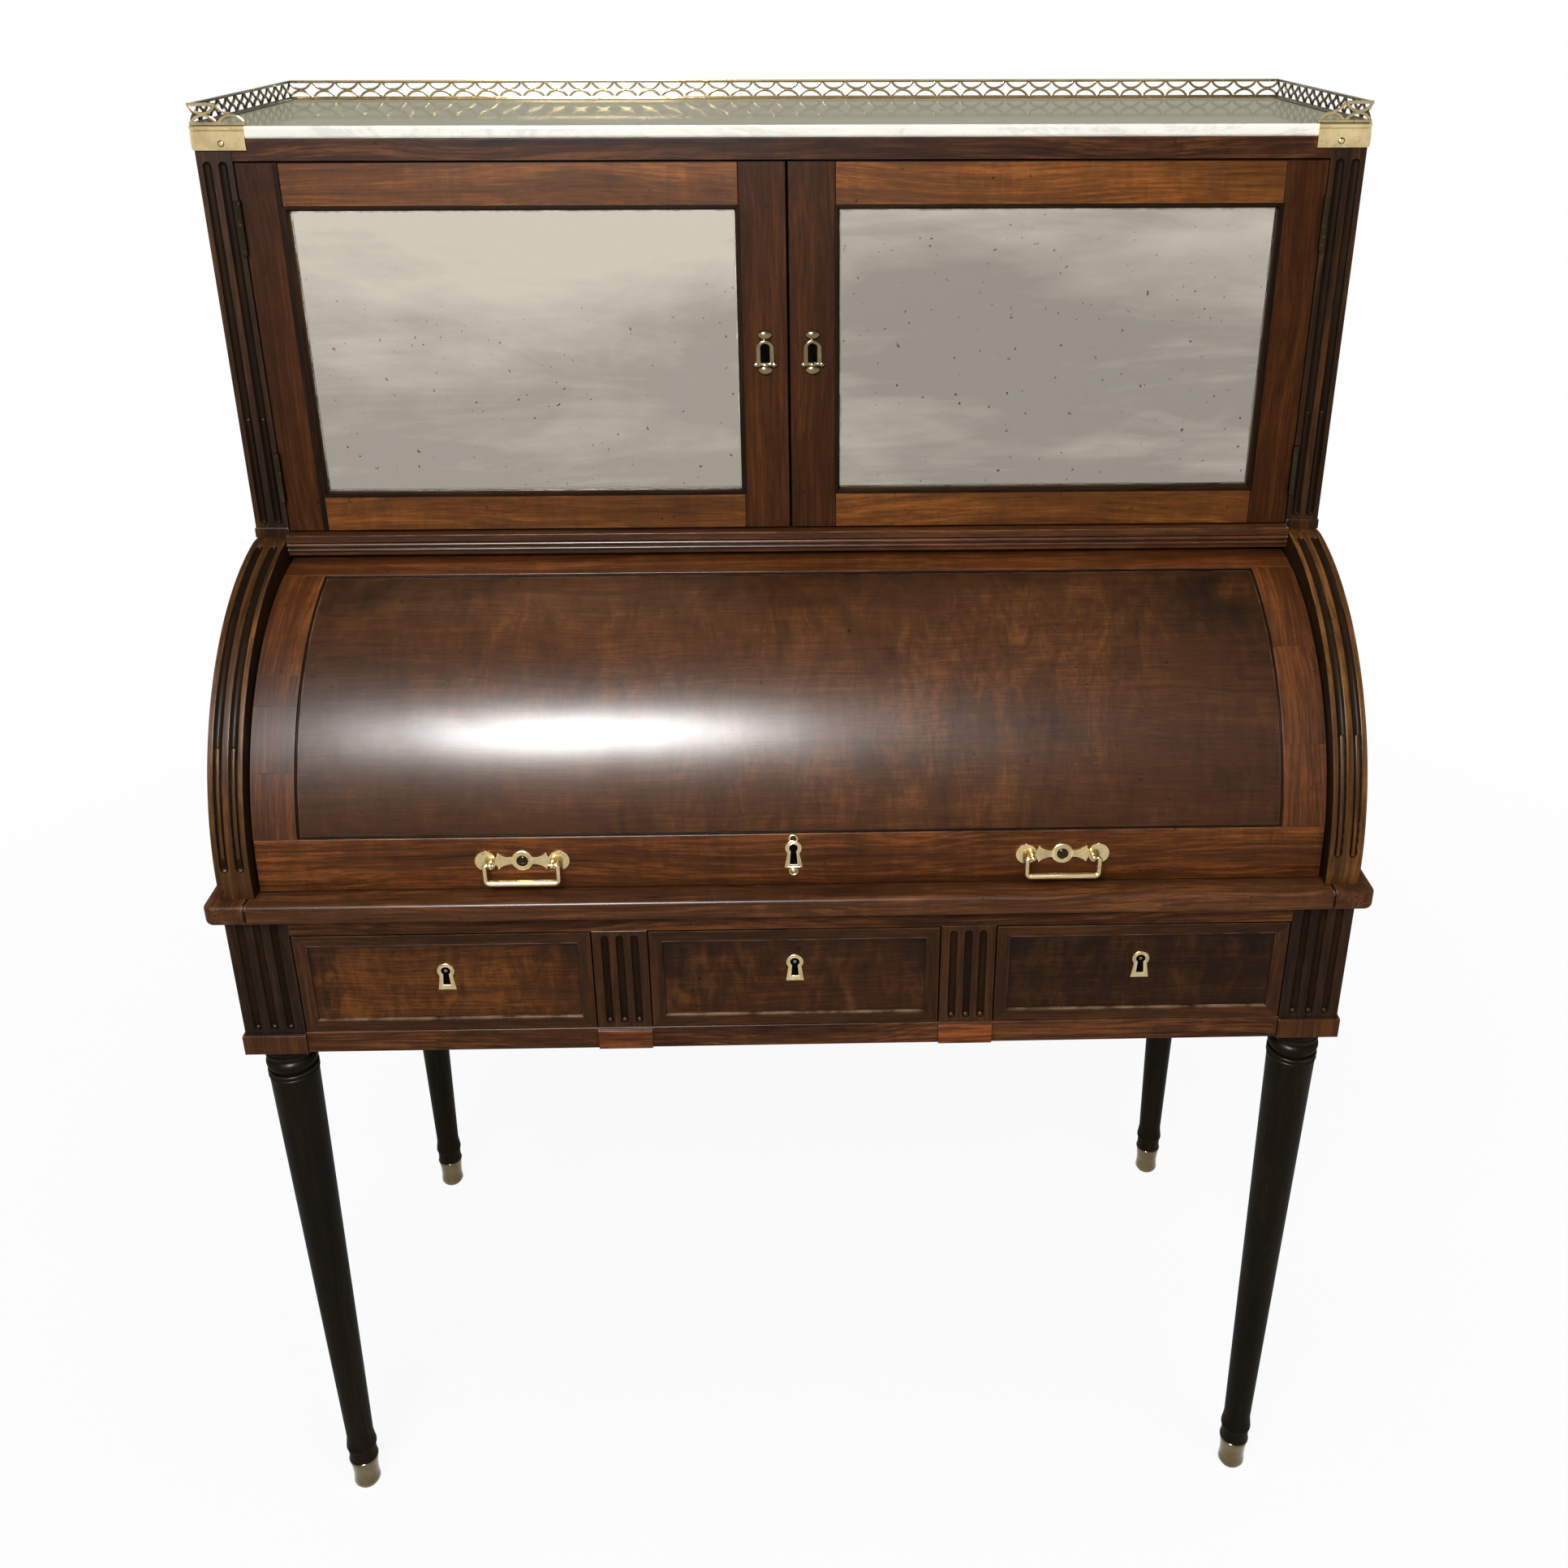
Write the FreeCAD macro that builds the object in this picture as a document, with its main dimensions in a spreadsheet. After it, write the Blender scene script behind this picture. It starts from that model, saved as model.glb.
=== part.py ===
import FreeCAD, Part
import os
import re

# A mahogany cylinder desk: four turned legs carry a frieze of three drawers, a writing slide,
# a quarter-cylinder fall between two fluted arms and a cabinet with two mirror doors under marble.
# X runs to the right, Y to the back and Z up; the origin is on the floor, mid-way in width and depth.

doc = FreeCAD.newDocument("cylinder_desk")
sheet = doc.addObject("Spreadsheet::Sheet", "dims")

# Driving sizes in millimetres and degrees
sizes = {
    # case and frieze
    "caseWide": 988, "caseDeep": 490, "slabOver": 12, "armThick": 30,
    "dieWide": 54, "centreShare": 0.330779, "dividerWide": 48.5, "friezeLow": 592,
    "lowerRailHigh": 22, "drawerOpenHigh": 104, "upperRailHigh": 18, "slabThick": 20,
    "railThick": 26, "apronThick": 18, "apronSet": 2, "blockHigh": 20, "blockOut": 2.5,
    "runnerThick": 10, "guideHigh": 20, "bedThick": 12, "overrun": 5,
    # flutes in the dies
    "dieFluteRadius": 3.6, "dieFluteDepth": 2.8, "dieFluteLow": 8, "dieFluteHigh": 8,
    "pearlRadius": 2.9, "pearlProud": 0.4,
    # turned legs
    "legFlareRadius": 25, "legNeckRadius": 21.5, "caveRadius": 9, "neckHigh": 13, "filletHigh": 3,
    "filletRadius": 22.4, "torusHigh": 15, "torusRadius": 23.2, "torusDrop": 25, "coreRadius": 20,
    "beadRadius": 1.7, "beadReach": 23, "beadStep": 4.5, "beadDrop": 34.5,
    "shaftTopRadius": 22.3, "shaftLowRadius": 13.6, "ankleHigh": 70, "ankleRise": 14,
    "bulbRadius": 15.4, "bulbHigh": 15, "bulbRound": 6, "plugRadius": 10.5, "plugLow": 6, "plugFit": 0.15,
    # brass shoes of the legs
    "shoeHigh": 38, "shoeFootRadius": 11.8, "shoeBulgeRadius": 13.7, "shoeWaistRadius": 12.8,
    "shoeTopRadius": 14.4, "shoeBulgeHigh": 3.5, "shoeWaistHigh": 12, "shoeRingRadius": 1.4, "shoeRingStep": 3.2,
    # frieze drawers
    "drawerGap": 1, "drawerFrontThick": 20, "drawerFrame": 12.5, "drawerRecess": 2.5, "drawerBead": 1.3,
    "drawerWall": 10, "drawerBoxHigh": 92, "drawerRear": 52, "drawerFloorThick": 6, "drawerFloorUp": 4,
    "drawerLockWide": 44, "drawerLockHigh": 46, "drawerLockThick": 7, "drawerLockUp": 2,
    # drawer keyhole plates
    "plateThick": 1.2, "keyRound": 7.6, "keyFootWide": 16, "keyNeckWide": 11.5, "keyHigh": 27.6,
    "keyHoleRadius": 4, "keySlotWide": 5, "keySlotDeep": 14,
    "keyLiftLeft": 5.2, "keyLiftCentre": 9.4, "keyLiftRight": 7.4,
    # writing slide
    "boardGap": 1, "slideOver": 6, "rearBedDeep": 202, "slideClear": 0.4, "slabRoundTop": 3.5,
    "slabRoundLow": 5.5, "slabCorner": 8, "leatherSide": 48, "leatherFront": 46, "leatherBack": 22, "leatherThick": 1.6,
    "leatherSink": 0.2,
    # arms
    "armTrim": 1, "axisUp": 11, "armDip": 3, "fluteRadius": 3.9, "fluteDepth": 3.2,
    "armFluteLow": 30, "armFluteTop": 1.3, "armReedHigh": 128, "reedRadius": 2.3, "reedSink": 0.5,
    "backThick": 8,
    # cylinder fall
    "shellBackset": 11, "shellSet": 22, "shellThick": 14, "shellGap": 1.5, "shellLift": 0.6, "shellLap": 10,
    "shellStile": 37.5, "shellLowRail": 49.4, "shellTopReach": 51, "panelRecess": 2.4, "panelThick": 8,
    "panelBorder": 2, "panelBorderProud": 1.3, "sectorThick": 9, "sectorSet": 2, "seatGap": 0.2,
    "hubRadius": 10, "pinRadius": 5, "pinClear": 0.05, "pinGrip": 18,
    # bail handles on the fall
    "handleSet": 228.5, "handleUp": 28, "handleSpan": 63, "handleDisc": 9.6, "handleRing": 9.5, "handleHole": 4.9,
    "handlePlateThick": 1.5, "handleFloor": 0.5, "handleScrew": 3, "handleScrewSink": 1.8,
    "neckThin": 7.5, "neckWideHigh": 15.5, "neckNotch": 7.5, "cuspReach": 21,
    "postRadius": 2.4, "postOut": 10.6, "postIn": 5, "pivotOut": 8.4, "trunnionRadius": 1.3, "trunnionClear": 0.05,
    "armWire": 2.1, "bailBar": 2.7, "bailDrop": 18, "bailSide": 0.7,
    # keyhole plate of the fall
    "fallKeyUp": 29.3, "fallKeyEye": 7, "fallKeyFoot": 11.7, "fallKeyRound": 7.2, "fallKeyFootWide": 16.2,
    "fallKeyNeckWide": 10.5, "fallKeyHole": 3.4, "fallKeySlotWide": 5.2, "fallKeyRim": 3.4,
    "fallKeyRing": 4.4, "fallKeyRingUp": 15.5,
    # keyhole plates of the doors
    "boltPlateThick": 1.4, "boltBodyWide": 16, "boltBodyHigh": 21, "boltSlotWide": 8, "boltFootWide": 21,
    "boltFootHigh": 5.5, "boltLugRadius": 6.6, "boltLugGap": 1.2,
    "fallLockWide": 60, "fallLockHigh": 32, "fallLockThick": 9,
    # inner nest with drawers and pigeonholes
    "nestReach": 64, "nestRear": 62, "nestSet": 14, "nestDrop": 62, "nestWall": 8, "nestBackThick": 6,
    "nestRow": 48, "nestDrawerGap": 0.6, "nestDrawerRear": 14, "nestDrawerWall": 6, "nestDrawerFloor": 5,
    "knobRadius": 5.5, "knobStem": 2.6, "knobOut": 9,
    # cabinet
    "cabLead": 27, "cabHigh": 353, "postDeep": 32, "sidePanel": 16, "footHigh": 9, "footOut": 1,
    "cabFluteLow": 16, "cabFluteTop": 22, "cabReedHigh": 95, "floorUp": 4.5, "floorThick": 14,
    "topRailHigh": 18, "shelfUp": 172, "shelfThick": 12, "shelfSet": 36,
    # moulded rail over the fall
    "railOut": 9, "railDeep": 22, "railLow": 15, "fasciaHigh": 6.5, "fasciaOut": 2,
    "railBead": 2.3, "railBeadUp": 10, "railReed": 1.6, "railReedUp": 5.2,
    # mirror doors
    "doorGap": 0.6, "doorClear": 1, "doorThick": 20, "doorStile": 36, "meetStile": 41, "doorTopRail": 37,
    "doorLowRail": 33.5, "lipThick": 7, "rebate": 7, "mirrorThick": 4, "backingThick": 6, "mirrorFit": 0.5,
    "doorBead": 2, "doorKeyUp": 166, "doorLockWide": 28, "doorLockHigh": 40, "doorLockThick": 7,
    # butt hinges
    "hingeHigh": 46, "hingeInset": 30, "knuckleRadius": 2.8, "knuckleOut": 3.3, "hingePin": 1.3, "hingeClear": 0.05,
    "leafThick": 1.2, "leafDeep": 18, "knuckleGap": 0.3,
    # marble, gallery and corner plates
    "marbleThick": 10.5, "marbleOver": 1.5, "marbleRound": 3, "marbleCorner": 4.6,
    "galleryHigh": 18, "galleryThick": 2, "galleryRail": 2.4, "galleryPitch": 23, "galleryBand": 3,
    "flangeWide": 4.4, "flangeThick": 1.6, "cornerLow": 9, "cornerWide": 47, "cornerDeep": 52, "cornerThick": 1.5,
    "cornerRound": 6, "screwRadius": 2.2, "screwProud": 0.8, "screwUp": 5,
}

# Places and sizes that follow from the driving ones
derived = {
    "halfWide": "caseWide / 2",
    "centreOpen": "(caseWide - (dieWide + dividerWide) * 2) * centreShare",
    "armRadius": "caseDeep / 2 - armTrim",
    "armHigh": "axisUp + armRadius - armDip",
    "shellRadius": "armRadius - shellSet",
    "axisBack": "shellRadius + shellBackset",
    "cabSet": "armRadius - cabLead",
    "slideHalf": "armIn + slideOver",
    "slideDeep": "caseDeep + slabOver - rearBedDeep",
    "leatherHalf": "slideHalf - leatherSide",
    "handleX": "shellHalf - handleSet",
    "nestHalf": "armIn - nestSet",
    "nestHigh": "shellIn - nestDrop",
    "nestBackReach": "shellIn - nestRear",
    "nestDrawerDeep": "nestReach + nestBackReach - nestBackThick - nestDrawerRear",
    "frontFace": "(slabOver - caseDeep) / 2",
    "backFace": "(caseDeep + slabOver) / 2",
    "slabFront": "frontFace - slabOver",
    "dieIn": "halfWide - dieWide",
    "centreHalf": "centreOpen / 2",
    "dividerOut": "centreHalf + dividerWide",
    "drawerLow": "friezeLow + lowerRailHigh",
    "drawerTop": "drawerLow + drawerOpenHigh",
    "slabLow": "drawerTop + upperRailHigh",
    "slabTop": "slabLow + slabThick",
    "railBack": "frontFace + railThick",
    "legX": "halfWide - dieWide / 2",
    "legFrontY": "frontFace + dieWide / 2",
    "legBackY": "backFace - dieWide / 2",
    "apronOut": "halfWide - apronSet",
    "apronIn": "apronOut - apronThick",
    "apronBackIn": "backFace - apronThick",
    "armIn": "halfWide - armThick",
    "armTop": "slabTop + armHigh",
    "armCentreY": "frontFace + armRadius",
    "axisY": "frontFace + axisBack",
    "axisZ": "slabTop + axisUp",
    "backIn": "backFace - backThick",
    "slideTop": "slabTop - slideClear",
    "slideBack": "slabFront + slideDeep",
    "boardIn": "slideHalf + boardGap",
    "shellHalf": "armIn - shellGap",
    "shellLow": "slabTop + shellLift",
    "shellIn": "shellRadius - shellThick",
    "panelHalf": "shellHalf - shellStile",
    "panelLow": "shellLow + shellLowRail",
    "panelTopY": "axisY - shellTopReach",
    "panelRadius": "shellRadius - panelRecess",
    "sectorIn": "shellHalf - sectorThick",
    "handleZ": "shellLow + handleUp",
    "shellFaceY": "axisY - sqrt(shellRadius * shellRadius - (handleZ - axisZ) * (handleZ - axisZ))",
    "pivotY": "shellFaceY - pivotOut",
    "barZ": "handleZ - bailDrop",
    "fallKeyZ": "shellLow + fallKeyUp",
    "nestFront": "axisY - nestReach",
    "nestBack": "axisY + nestBackReach",
    "nestTop": "slabTop + nestHigh",
    "nestDrawerLow": "slabTop + nestWall",
    "nestShelf": "nestDrawerLow + nestRow",
    "nestBay": "(nestHalf * 2 - nestWall * 4) / 3",
    "cabFront": "frontFace + cabSet",
    "cabLow": "armTop",
    "cabTop": "cabLow + cabHigh",
    "cabFloor": "cabLow + floorUp",
    "doorLow": "cabFloor + doorClear",
    "doorTop": "cabTop - topRailHigh - doorClear",
    "doorOut": "armIn - doorGap",
    "doorIn": "doorGap",
    "doorBack": "cabFront + doorThick",
    "sightOut": "doorOut - doorStile",
    "sightIn": "doorIn + meetStile",
    "sightLow": "doorLow + doorLowRail",
    "sightTop": "doorTop - doorTopRail",
    "mirrorFace": "cabFront + lipThick",
    "mirrorBack": "mirrorFace + mirrorThick",
    "backingBack": "mirrorBack + backingThick",
    "doorKeyX": "doorIn + meetStile / 2",
    "doorKeyZ": "doorLow + doorKeyUp",
    "hingeY": "cabFront - knuckleOut",
    "hingeX": "armIn - doorGap / 2",
    "railFront": "cabFront - railOut",
    "railBottom": "cabLow - railLow",
    "marbleTop": "cabTop + marbleThick",
    "marbleHalf": "halfWide + marbleOver",
    "marbleFront": "cabFront - marbleOver",
    "galleryHalf": "marbleHalf",
    "galleryFront": "marbleFront",
    "galleryTop": "marbleTop + galleryHigh",
}

names = set(sizes) | set(derived)
row = 0
for table, mark in ((sizes, ""), (derived, "=")):
    for name, entry in table.items():
        row += 1
        sheet.set(f"A{row}", name)
        sheet.set(f"B{row}", f"{mark}{entry}")
        sheet.setAlias(f"B{row}", name)
doc.recompute()

nodes = {}


def value(name):
    return float(sheet.get(name))


def bind(item, prop, text):
    item.setExpression(prop, re.sub(r"[A-Za-z]\w*", lambda w: f"dims.{w[0]}" if w[0] in names else w[0], text))


def node(label, item):
    item.Label = label
    nodes[label] = item
    return item


turns = {
    "x": FreeCAD.Rotation(FreeCAD.Vector(0, 1, 0), 90),
    "y": FreeCAD.Rotation(FreeCAD.Vector(1, 0, 0), -90),
    "z": FreeCAD.Rotation(),
    "up": FreeCAD.Rotation(FreeCAD.Vector(1, 0, 0), FreeCAD.Vector(0, 0, 1), FreeCAD.Vector(0, -1, 0)),
    "right": FreeCAD.Rotation(FreeCAD.Vector(0, 0, 1), FreeCAD.Vector(1, 0, 0), FreeCAD.Vector(0, 1, 0)),
    "left": FreeCAD.Rotation(FreeCAD.Vector(0, 0, 1), FreeCAD.Vector(-1, 0, 0), FreeCAD.Vector(0, -1, 0)),
}


def placed(item, axis, x, y, z):
    item.Placement = FreeCAD.Placement(FreeCAD.Vector(), turns[axis])
    for name, place in zip("xyz", (x, y, z)):
        bind(item, f"Placement.Base.{name}", place)
    return item


def sized(item, x, y, z):
    for prop, axis, (low, high) in (("Length", "x", x), ("Width", "y", y), ("Height", "z", z)):
        bind(item, prop, f"({high}) - ({low})")
        bind(item, f"Placement.Base.{axis}", low)
    return item


def box(x, y, z):
    return sized(doc.addObject("Part::Box", "Block"), x, y, z)


def rod(axis, radius, length, x, y, z):
    item = doc.addObject("Part::Cylinder", "Rod")
    bind(item, "Radius", radius)
    bind(item, "Height", length)
    return placed(item, axis, x, y, z)


def cone(low, high, length, x, y, z):
    item = doc.addObject("Part::Cone", "Taper")
    bind(item, "Radius1", low)
    bind(item, "Radius2", high)
    bind(item, "Height", length)
    return placed(item, "z", x, y, z)


def ring(axis, reach, radius, x, y, z):
    item = doc.addObject("Part::Torus", "Ring")
    bind(item, "Radius1", reach)
    bind(item, "Radius2", radius)
    return placed(item, axis, x, y, z)


def ball(radius, x, y, z):
    item = doc.addObject("Part::Sphere", "Ball")
    bind(item, "Radius", radius)
    return placed(item, "z", x, y, z)


def taper(way, start, end, length, deep, x, y, z):
    # A flat piece whose width runs evenly from start to end
    item = doc.addObject("Part::Wedge", "Flare")
    spans = {"Xmin": f"-({start}) / 2", "Xmax": f"({start}) / 2", "X2min": f"-({end}) / 2", "X2max": f"({end}) / 2"}
    spans.update({"Ymin": "0", "Ymax": length, "Zmin": "0", "Zmax": deep, "Z2min": "0", "Z2max": deep})
    for prop, text in spans.items():
        bind(item, prop, text)
    return placed(item, way, x, y, z)


def joined(*items):
    if len(items) == 1:
        return items[0]
    item = doc.addObject("Part::MultiFuse", "Joined")
    item.Shapes = list(items)
    item.Refine = True
    return item


def shared(*items):
    item = doc.addObject("Part::MultiCommon", "Shared")
    item.Shapes = list(items)
    return item


def cut(base, *tools):
    item = doc.addObject("Part::Cut", "Cut")
    item.Base = base
    item.Tool = joined(*tools)
    item.Refine = True
    return item


def mirrored(source):
    item = doc.addObject("Part::Mirroring", "Mirrored")
    item.Source = source
    item.Normal = FreeCAD.Vector(1, 0, 0)
    return item


def together(*items):
    item = doc.addObject("Part::Compound", "Set")
    item.Links = list(items)
    return item


def edges_on(shape, room, sides):
    limits = {"left": "XMin", "right": "XMax", "front": "YMin", "back": "YMax", "low": "ZMin", "top": "ZMax"}
    found = []
    for index, edge in enumerate(shape.Edges, 1):
        gaps = []
        for side in sides:
            goal = getattr(room, limits[side])
            gaps += [abs(getattr(edge.BoundBox, limits[side][0] + end) - goal) for end in ("Min", "Max")]
        if max(gaps) < room.DiagonalLength * 1e-6:
            found.append(f"Edge{index}")
    return found


def rounded(x, y, z, rounds):
    # A board whose named edges are rounded one after another
    body = doc.addObject("PartDesign::Body", "Board")
    last = sized(body.newObject("PartDesign::AdditiveBox", "Block"), x, y, z)
    doc.recompute()
    room = last.Shape.BoundBox
    for sides, radius in rounds:
        soft = body.newObject("PartDesign::Fillet", "Round")
        soft.Base = (last, edges_on(last.Shape, room, sides))
        bind(soft, "Radius", radius)
        doc.recompute()
        last = soft
    return body


def flute(x, face, low, high, radius, depth):
    # A round-ended upright groove in a front face
    y = f"{face} - ({radius}) + ({depth})"
    return joined(
        rod("z", radius, f"({high}) - ({low})", x, y, low),
        ball(radius, x, y, low),
        ball(radius, x, y, high),
    )


def reed(x, face, low, high):
    # A round-topped bead standing in the lower part of an upright groove
    y = f"{face} + reedRadius + reedSink"
    return joined(rod("z", "reedRadius", f"({high}) - ({low})", x, y, low), ball("reedRadius", x, y, high))


flute_shares = (0.28, 0.72)
die_flute_shares = (0.23, 0.5, 0.77)


def fluted_die(block, low_x, wide, low, high):
    grooves = []
    pearls = []
    for share in die_flute_shares:
        x = f"{low_x} + {wide} * {share}"
        bottom = f"{low} + dieFluteLow"
        grooves.append(flute(x, "frontFace", bottom, f"{high} - dieFluteHigh", "dieFluteRadius", "dieFluteDepth"))
        pearls.append(ball("pearlRadius", x, "frontFace + pearlRadius - pearlProud", bottom))
    return joined(cut(block, *grooves), *pearls)


# Turned legs, each with the die that stands in the frieze corner
def turned_leg(y):
    top = "friezeLow"
    cave = cut(
        rod("z", "legFlareRadius", "neckHigh", "legX", y, f"{top} - neckHigh"),
        ring("z", "legNeckRadius + caveRadius", "caveRadius", "legX", y, f"{top} - neckHigh"),
    )
    return [
        cave,
        rod("z", "filletRadius", "filletHigh", "legX", y, f"{top} - neckHigh - filletHigh"),
        rod("z", "coreRadius", "beadDrop - neckHigh", "legX", y, f"{top} - beadDrop"),
        ring("z", "torusRadius - torusHigh / 2", "torusHigh / 2", "legX", y, f"{top} - torusDrop"),
        ring("z", "beadReach - beadRadius", "beadRadius", "legX", y, f"{top} - beadDrop"),
        ring("z", "beadReach - beadRadius", "beadRadius", "legX", y, f"{top} - beadDrop - beadStep"),
        cone("shaftLowRadius", "shaftTopRadius", f"{top} - beadDrop - ankleHigh", "legX", y, "ankleHigh"),
        cone("bulbRadius", "shaftLowRadius", "ankleRise", "legX", y, "ankleHigh - ankleRise"),
        rod("z", "bulbRadius - bulbRound", "bulbHigh", "legX", y, "shoeHigh"),
        ring("z", "bulbRadius - bulbRound", "bulbRound", "legX", y, "ankleHigh - ankleRise"),
        rod("z", "bulbRadius - shoeRingRadius", "ankleHigh - ankleRise - shoeHigh", "legX", y, "shoeHigh"),
        rod("z", "plugRadius", "shoeHigh - plugLow", "legX", y, "plugLow"),
    ]


front_die = fluted_die(
    box(("dieIn", "halfWide"), ("frontFace", "frontFace + dieWide"), ("friezeLow", "slabLow")),
    "dieIn", "dieWide", "friezeLow + blockHigh", "slabLow",
)
front_block = box(
    ("dieIn", "halfWide + blockOut"),
    ("frontFace - blockOut", "frontFace + dieWide"),
    ("friezeLow", "friezeLow + blockHigh"),
)
back_die = box(("dieIn", "halfWide"), ("backFace - dieWide", "backFace"), ("friezeLow", "slabLow"))
back_block = box(
    ("dieIn", "halfWide + blockOut"), ("backFace - dieWide", "backFace"), ("friezeLow", "friezeLow + blockHigh"),
)
front_leg = node("leg_front_right", joined(front_die, front_block, *turned_leg("legFrontY")))
back_leg = node("leg_back_right", joined(back_die, back_block, *turned_leg("legBackY")))
node("leg_front_left", mirrored(front_leg))
node("leg_back_left", mirrored(back_leg))


# Brass shoes under the legs
def shoe(y):
    waist = "shoeBulgeHigh + shoeWaistHigh"
    cup = joined(
        cone("shoeFootRadius", "shoeBulgeRadius", "shoeBulgeHigh", "legX", y, "0"),
        cone("shoeBulgeRadius", "shoeWaistRadius", "shoeWaistHigh", "legX", y, "shoeBulgeHigh"),
        cone("shoeWaistRadius", "shoeTopRadius", f"shoeHigh - ({waist})", "legX", y, waist),
        ring("z", "shoeTopRadius - shoeRingRadius / 2", "shoeRingRadius", "legX", y, "shoeHigh - shoeRingRadius"),
        ring("z", "shoeTopRadius - shoeRingRadius", "shoeRingRadius", "legX", y,
             "shoeHigh - shoeRingRadius - shoeRingStep"),
    )
    return cut(cup, rod("z", "plugRadius + plugFit", "shoeHigh", "legX", y, "plugLow"))


shoes = [shoe("legFrontY"), shoe("legBackY")]
node("leg_shoes", together(*shoes, *[mirrored(item) for item in shoes]))

# Front rails of the frieze, with the blocks under the two inner dies
inner_block = box(
    ("centreHalf", "dividerOut"), ("frontFace - blockOut", "railBack"), ("friezeLow", "friezeLow + blockHigh"),
)
lower_rail = box(("-dieIn", "dieIn"), ("frontFace", "railBack"), ("friezeLow", "drawerLow"))
node("front_lower_rail", joined(lower_rail, inner_block, mirrored(inner_block)))
node("front_upper_rail", box(("-dieIn", "dieIn"), ("frontFace", "railBack"), ("drawerTop", "slabLow")))
divider = fluted_die(
    box(("centreHalf", "dividerOut"), ("frontFace", "railBack"), ("drawerLow", "drawerTop")),
    "centreHalf", "dividerWide", "drawerLow", "drawerTop",
)
node("drawer_dividers", together(divider, mirrored(divider)))

# Aprons at the sides and the back
apron = box(
    ("apronIn", "apronOut"), ("frontFace + dieWide", "backFace - dieWide"), ("friezeLow", "slabLow"),
)
node("side_aprons", together(apron, mirrored(apron)))
node("back_apron", box(("-dieIn", "dieIn"), ("apronBackIn", "backFace"), ("friezeLow", "slabLow")))

# Runner board under the drawers with guides behind the dividers, and the bed that the slide runs on
runner = box(("-dieIn", "dieIn"), ("railBack", "apronBackIn"), ("drawerLow - runnerThick", "drawerLow"))
guide = box(("centreHalf", "dividerOut"), ("railBack", "apronBackIn"), ("drawerLow", "drawerLow + guideHigh"))
side_guide = box(
    ("dieIn", "apronIn"),
    ("frontFace + dieWide", "backFace - dieWide"),
    ("drawerLow - runnerThick", "drawerLow + guideHigh"),
)
node("runner_board", joined(runner, guide, mirrored(guide), side_guide, mirrored(side_guide)))
node("slide_bed", box(("-dieIn", "dieIn"), ("railBack", "apronBackIn"), ("slabLow - bedThick", "slabLow")))

# Fixed top boards: two sides and the rear bed around the writing slide
top_side = rounded(
    ("boardIn", "halfWide + slabOver"), ("slabFront", "backFace"), ("slabLow", "slabTop"),
    [(("front", "right"), "slabCorner"), (("front", "top"), "slabRoundTop"), (("front", "low"), "slabRoundLow")],
)
node("top_side_right", top_side)
node("top_side_left", mirrored(top_side))
node("rear_bed", box(("-boardIn", "boardIn"), ("slideBack + boardGap", "backFace"), ("slabLow", "slabTop")))

# Writing slide with a leather panel let into its top
slide_board = rounded(
    ("-slideHalf", "slideHalf"), ("slabFront", "slideBack"), ("slabLow", "slideTop"),
    [(("front", "top"), "slabRoundTop"), (("front", "low"), "slabRoundLow")],
)
leather_span = (("-leatherHalf", "leatherHalf"), ("slabFront + leatherFront", "slideBack - leatherBack"))
leather_low = "slideTop - leatherSink - leatherThick"
node("writing_slide", cut(slide_board, box(*leather_span, (leather_low, "slideTop + overrun"))))
node("writing_leather", box(*leather_span, (leather_low, "slideTop - leatherSink")))


# Fluted arms at both sides of the fall; grooves follow the quarter circle and hold reeds below
def arc_y(reach, z):
    return f"armCentreY - sqrt(({reach}) * ({reach}) - ({z} - axisZ) * ({z} - axisZ))"


def bow(x, reach, radius, low, high, ends):
    # A round bar bent along the arm's quarter circle, with rounded ends
    start, end = (f"asin((({z}) - axisZ) / ({reach}))" for z in (low, high))
    item = doc.addObject("Part::Torus", "Bow")
    bind(item, "Radius1", reach)
    bind(item, "Radius2", radius)
    bind(item, "Angle3", f"{end} - {start}")
    bind(item, "Placement", f"placement(vector({x}; armCentreY; axisZ); rotation(-90; -{start}; 90))")
    caps = [ball(f"({radius}) * {cap_share}", x, arc_y(reach, end), end) for end in ends]
    return joined(item, *caps)


cap_share = 0.97
arm_low = "slabTop + armFluteLow"
arm_high = "armTop - armFluteTop"
reed_high = "slabTop + armReedHigh"
arm_disc = shared(
    rod("x", "armRadius", "armThick", "armIn", "armCentreY", "axisZ"),
    box(("armIn", "halfWide"), ("frontFace - overrun", "armCentreY"), ("slabTop", "armTop")),
)
arm_body = joined(arm_disc, box(("armIn", "halfWide"), ("armCentreY", "backFace"), ("slabTop", "armTop")))
arm_grooves = []
arm_reeds = []
for share in flute_shares:
    x = f"armIn + armThick * {share}"
    arm_grooves.append(bow(x, "armRadius + fluteRadius - fluteDepth", "fluteRadius", arm_low, arm_high,
                           (arm_low, arm_high)))
    arm_reeds.append(bow(x, "armRadius - reedRadius - reedSink", "reedRadius", f"{arm_low} - reedRadius", reed_high,
                         (reed_high,)))
pin_hole = rod("x", "pinRadius + pinClear", "pinGrip", "armIn", "axisY", "axisZ")
arm = node("case_side_right", joined(cut(arm_body, *arm_grooves, pin_hole), *arm_reeds))
node("case_side_left", mirrored(arm))
node("case_back", box(("-armIn", "armIn"), ("backIn", "backFace"), ("slabTop", "armTop")))

# Pins that the fall turns on
pin = rod("x", "pinRadius", "pinGrip + armIn - sectorIn", "sectorIn", "axisY", "axisZ")
node("pivot_pins", together(pin, mirrored(pin)))

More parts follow.
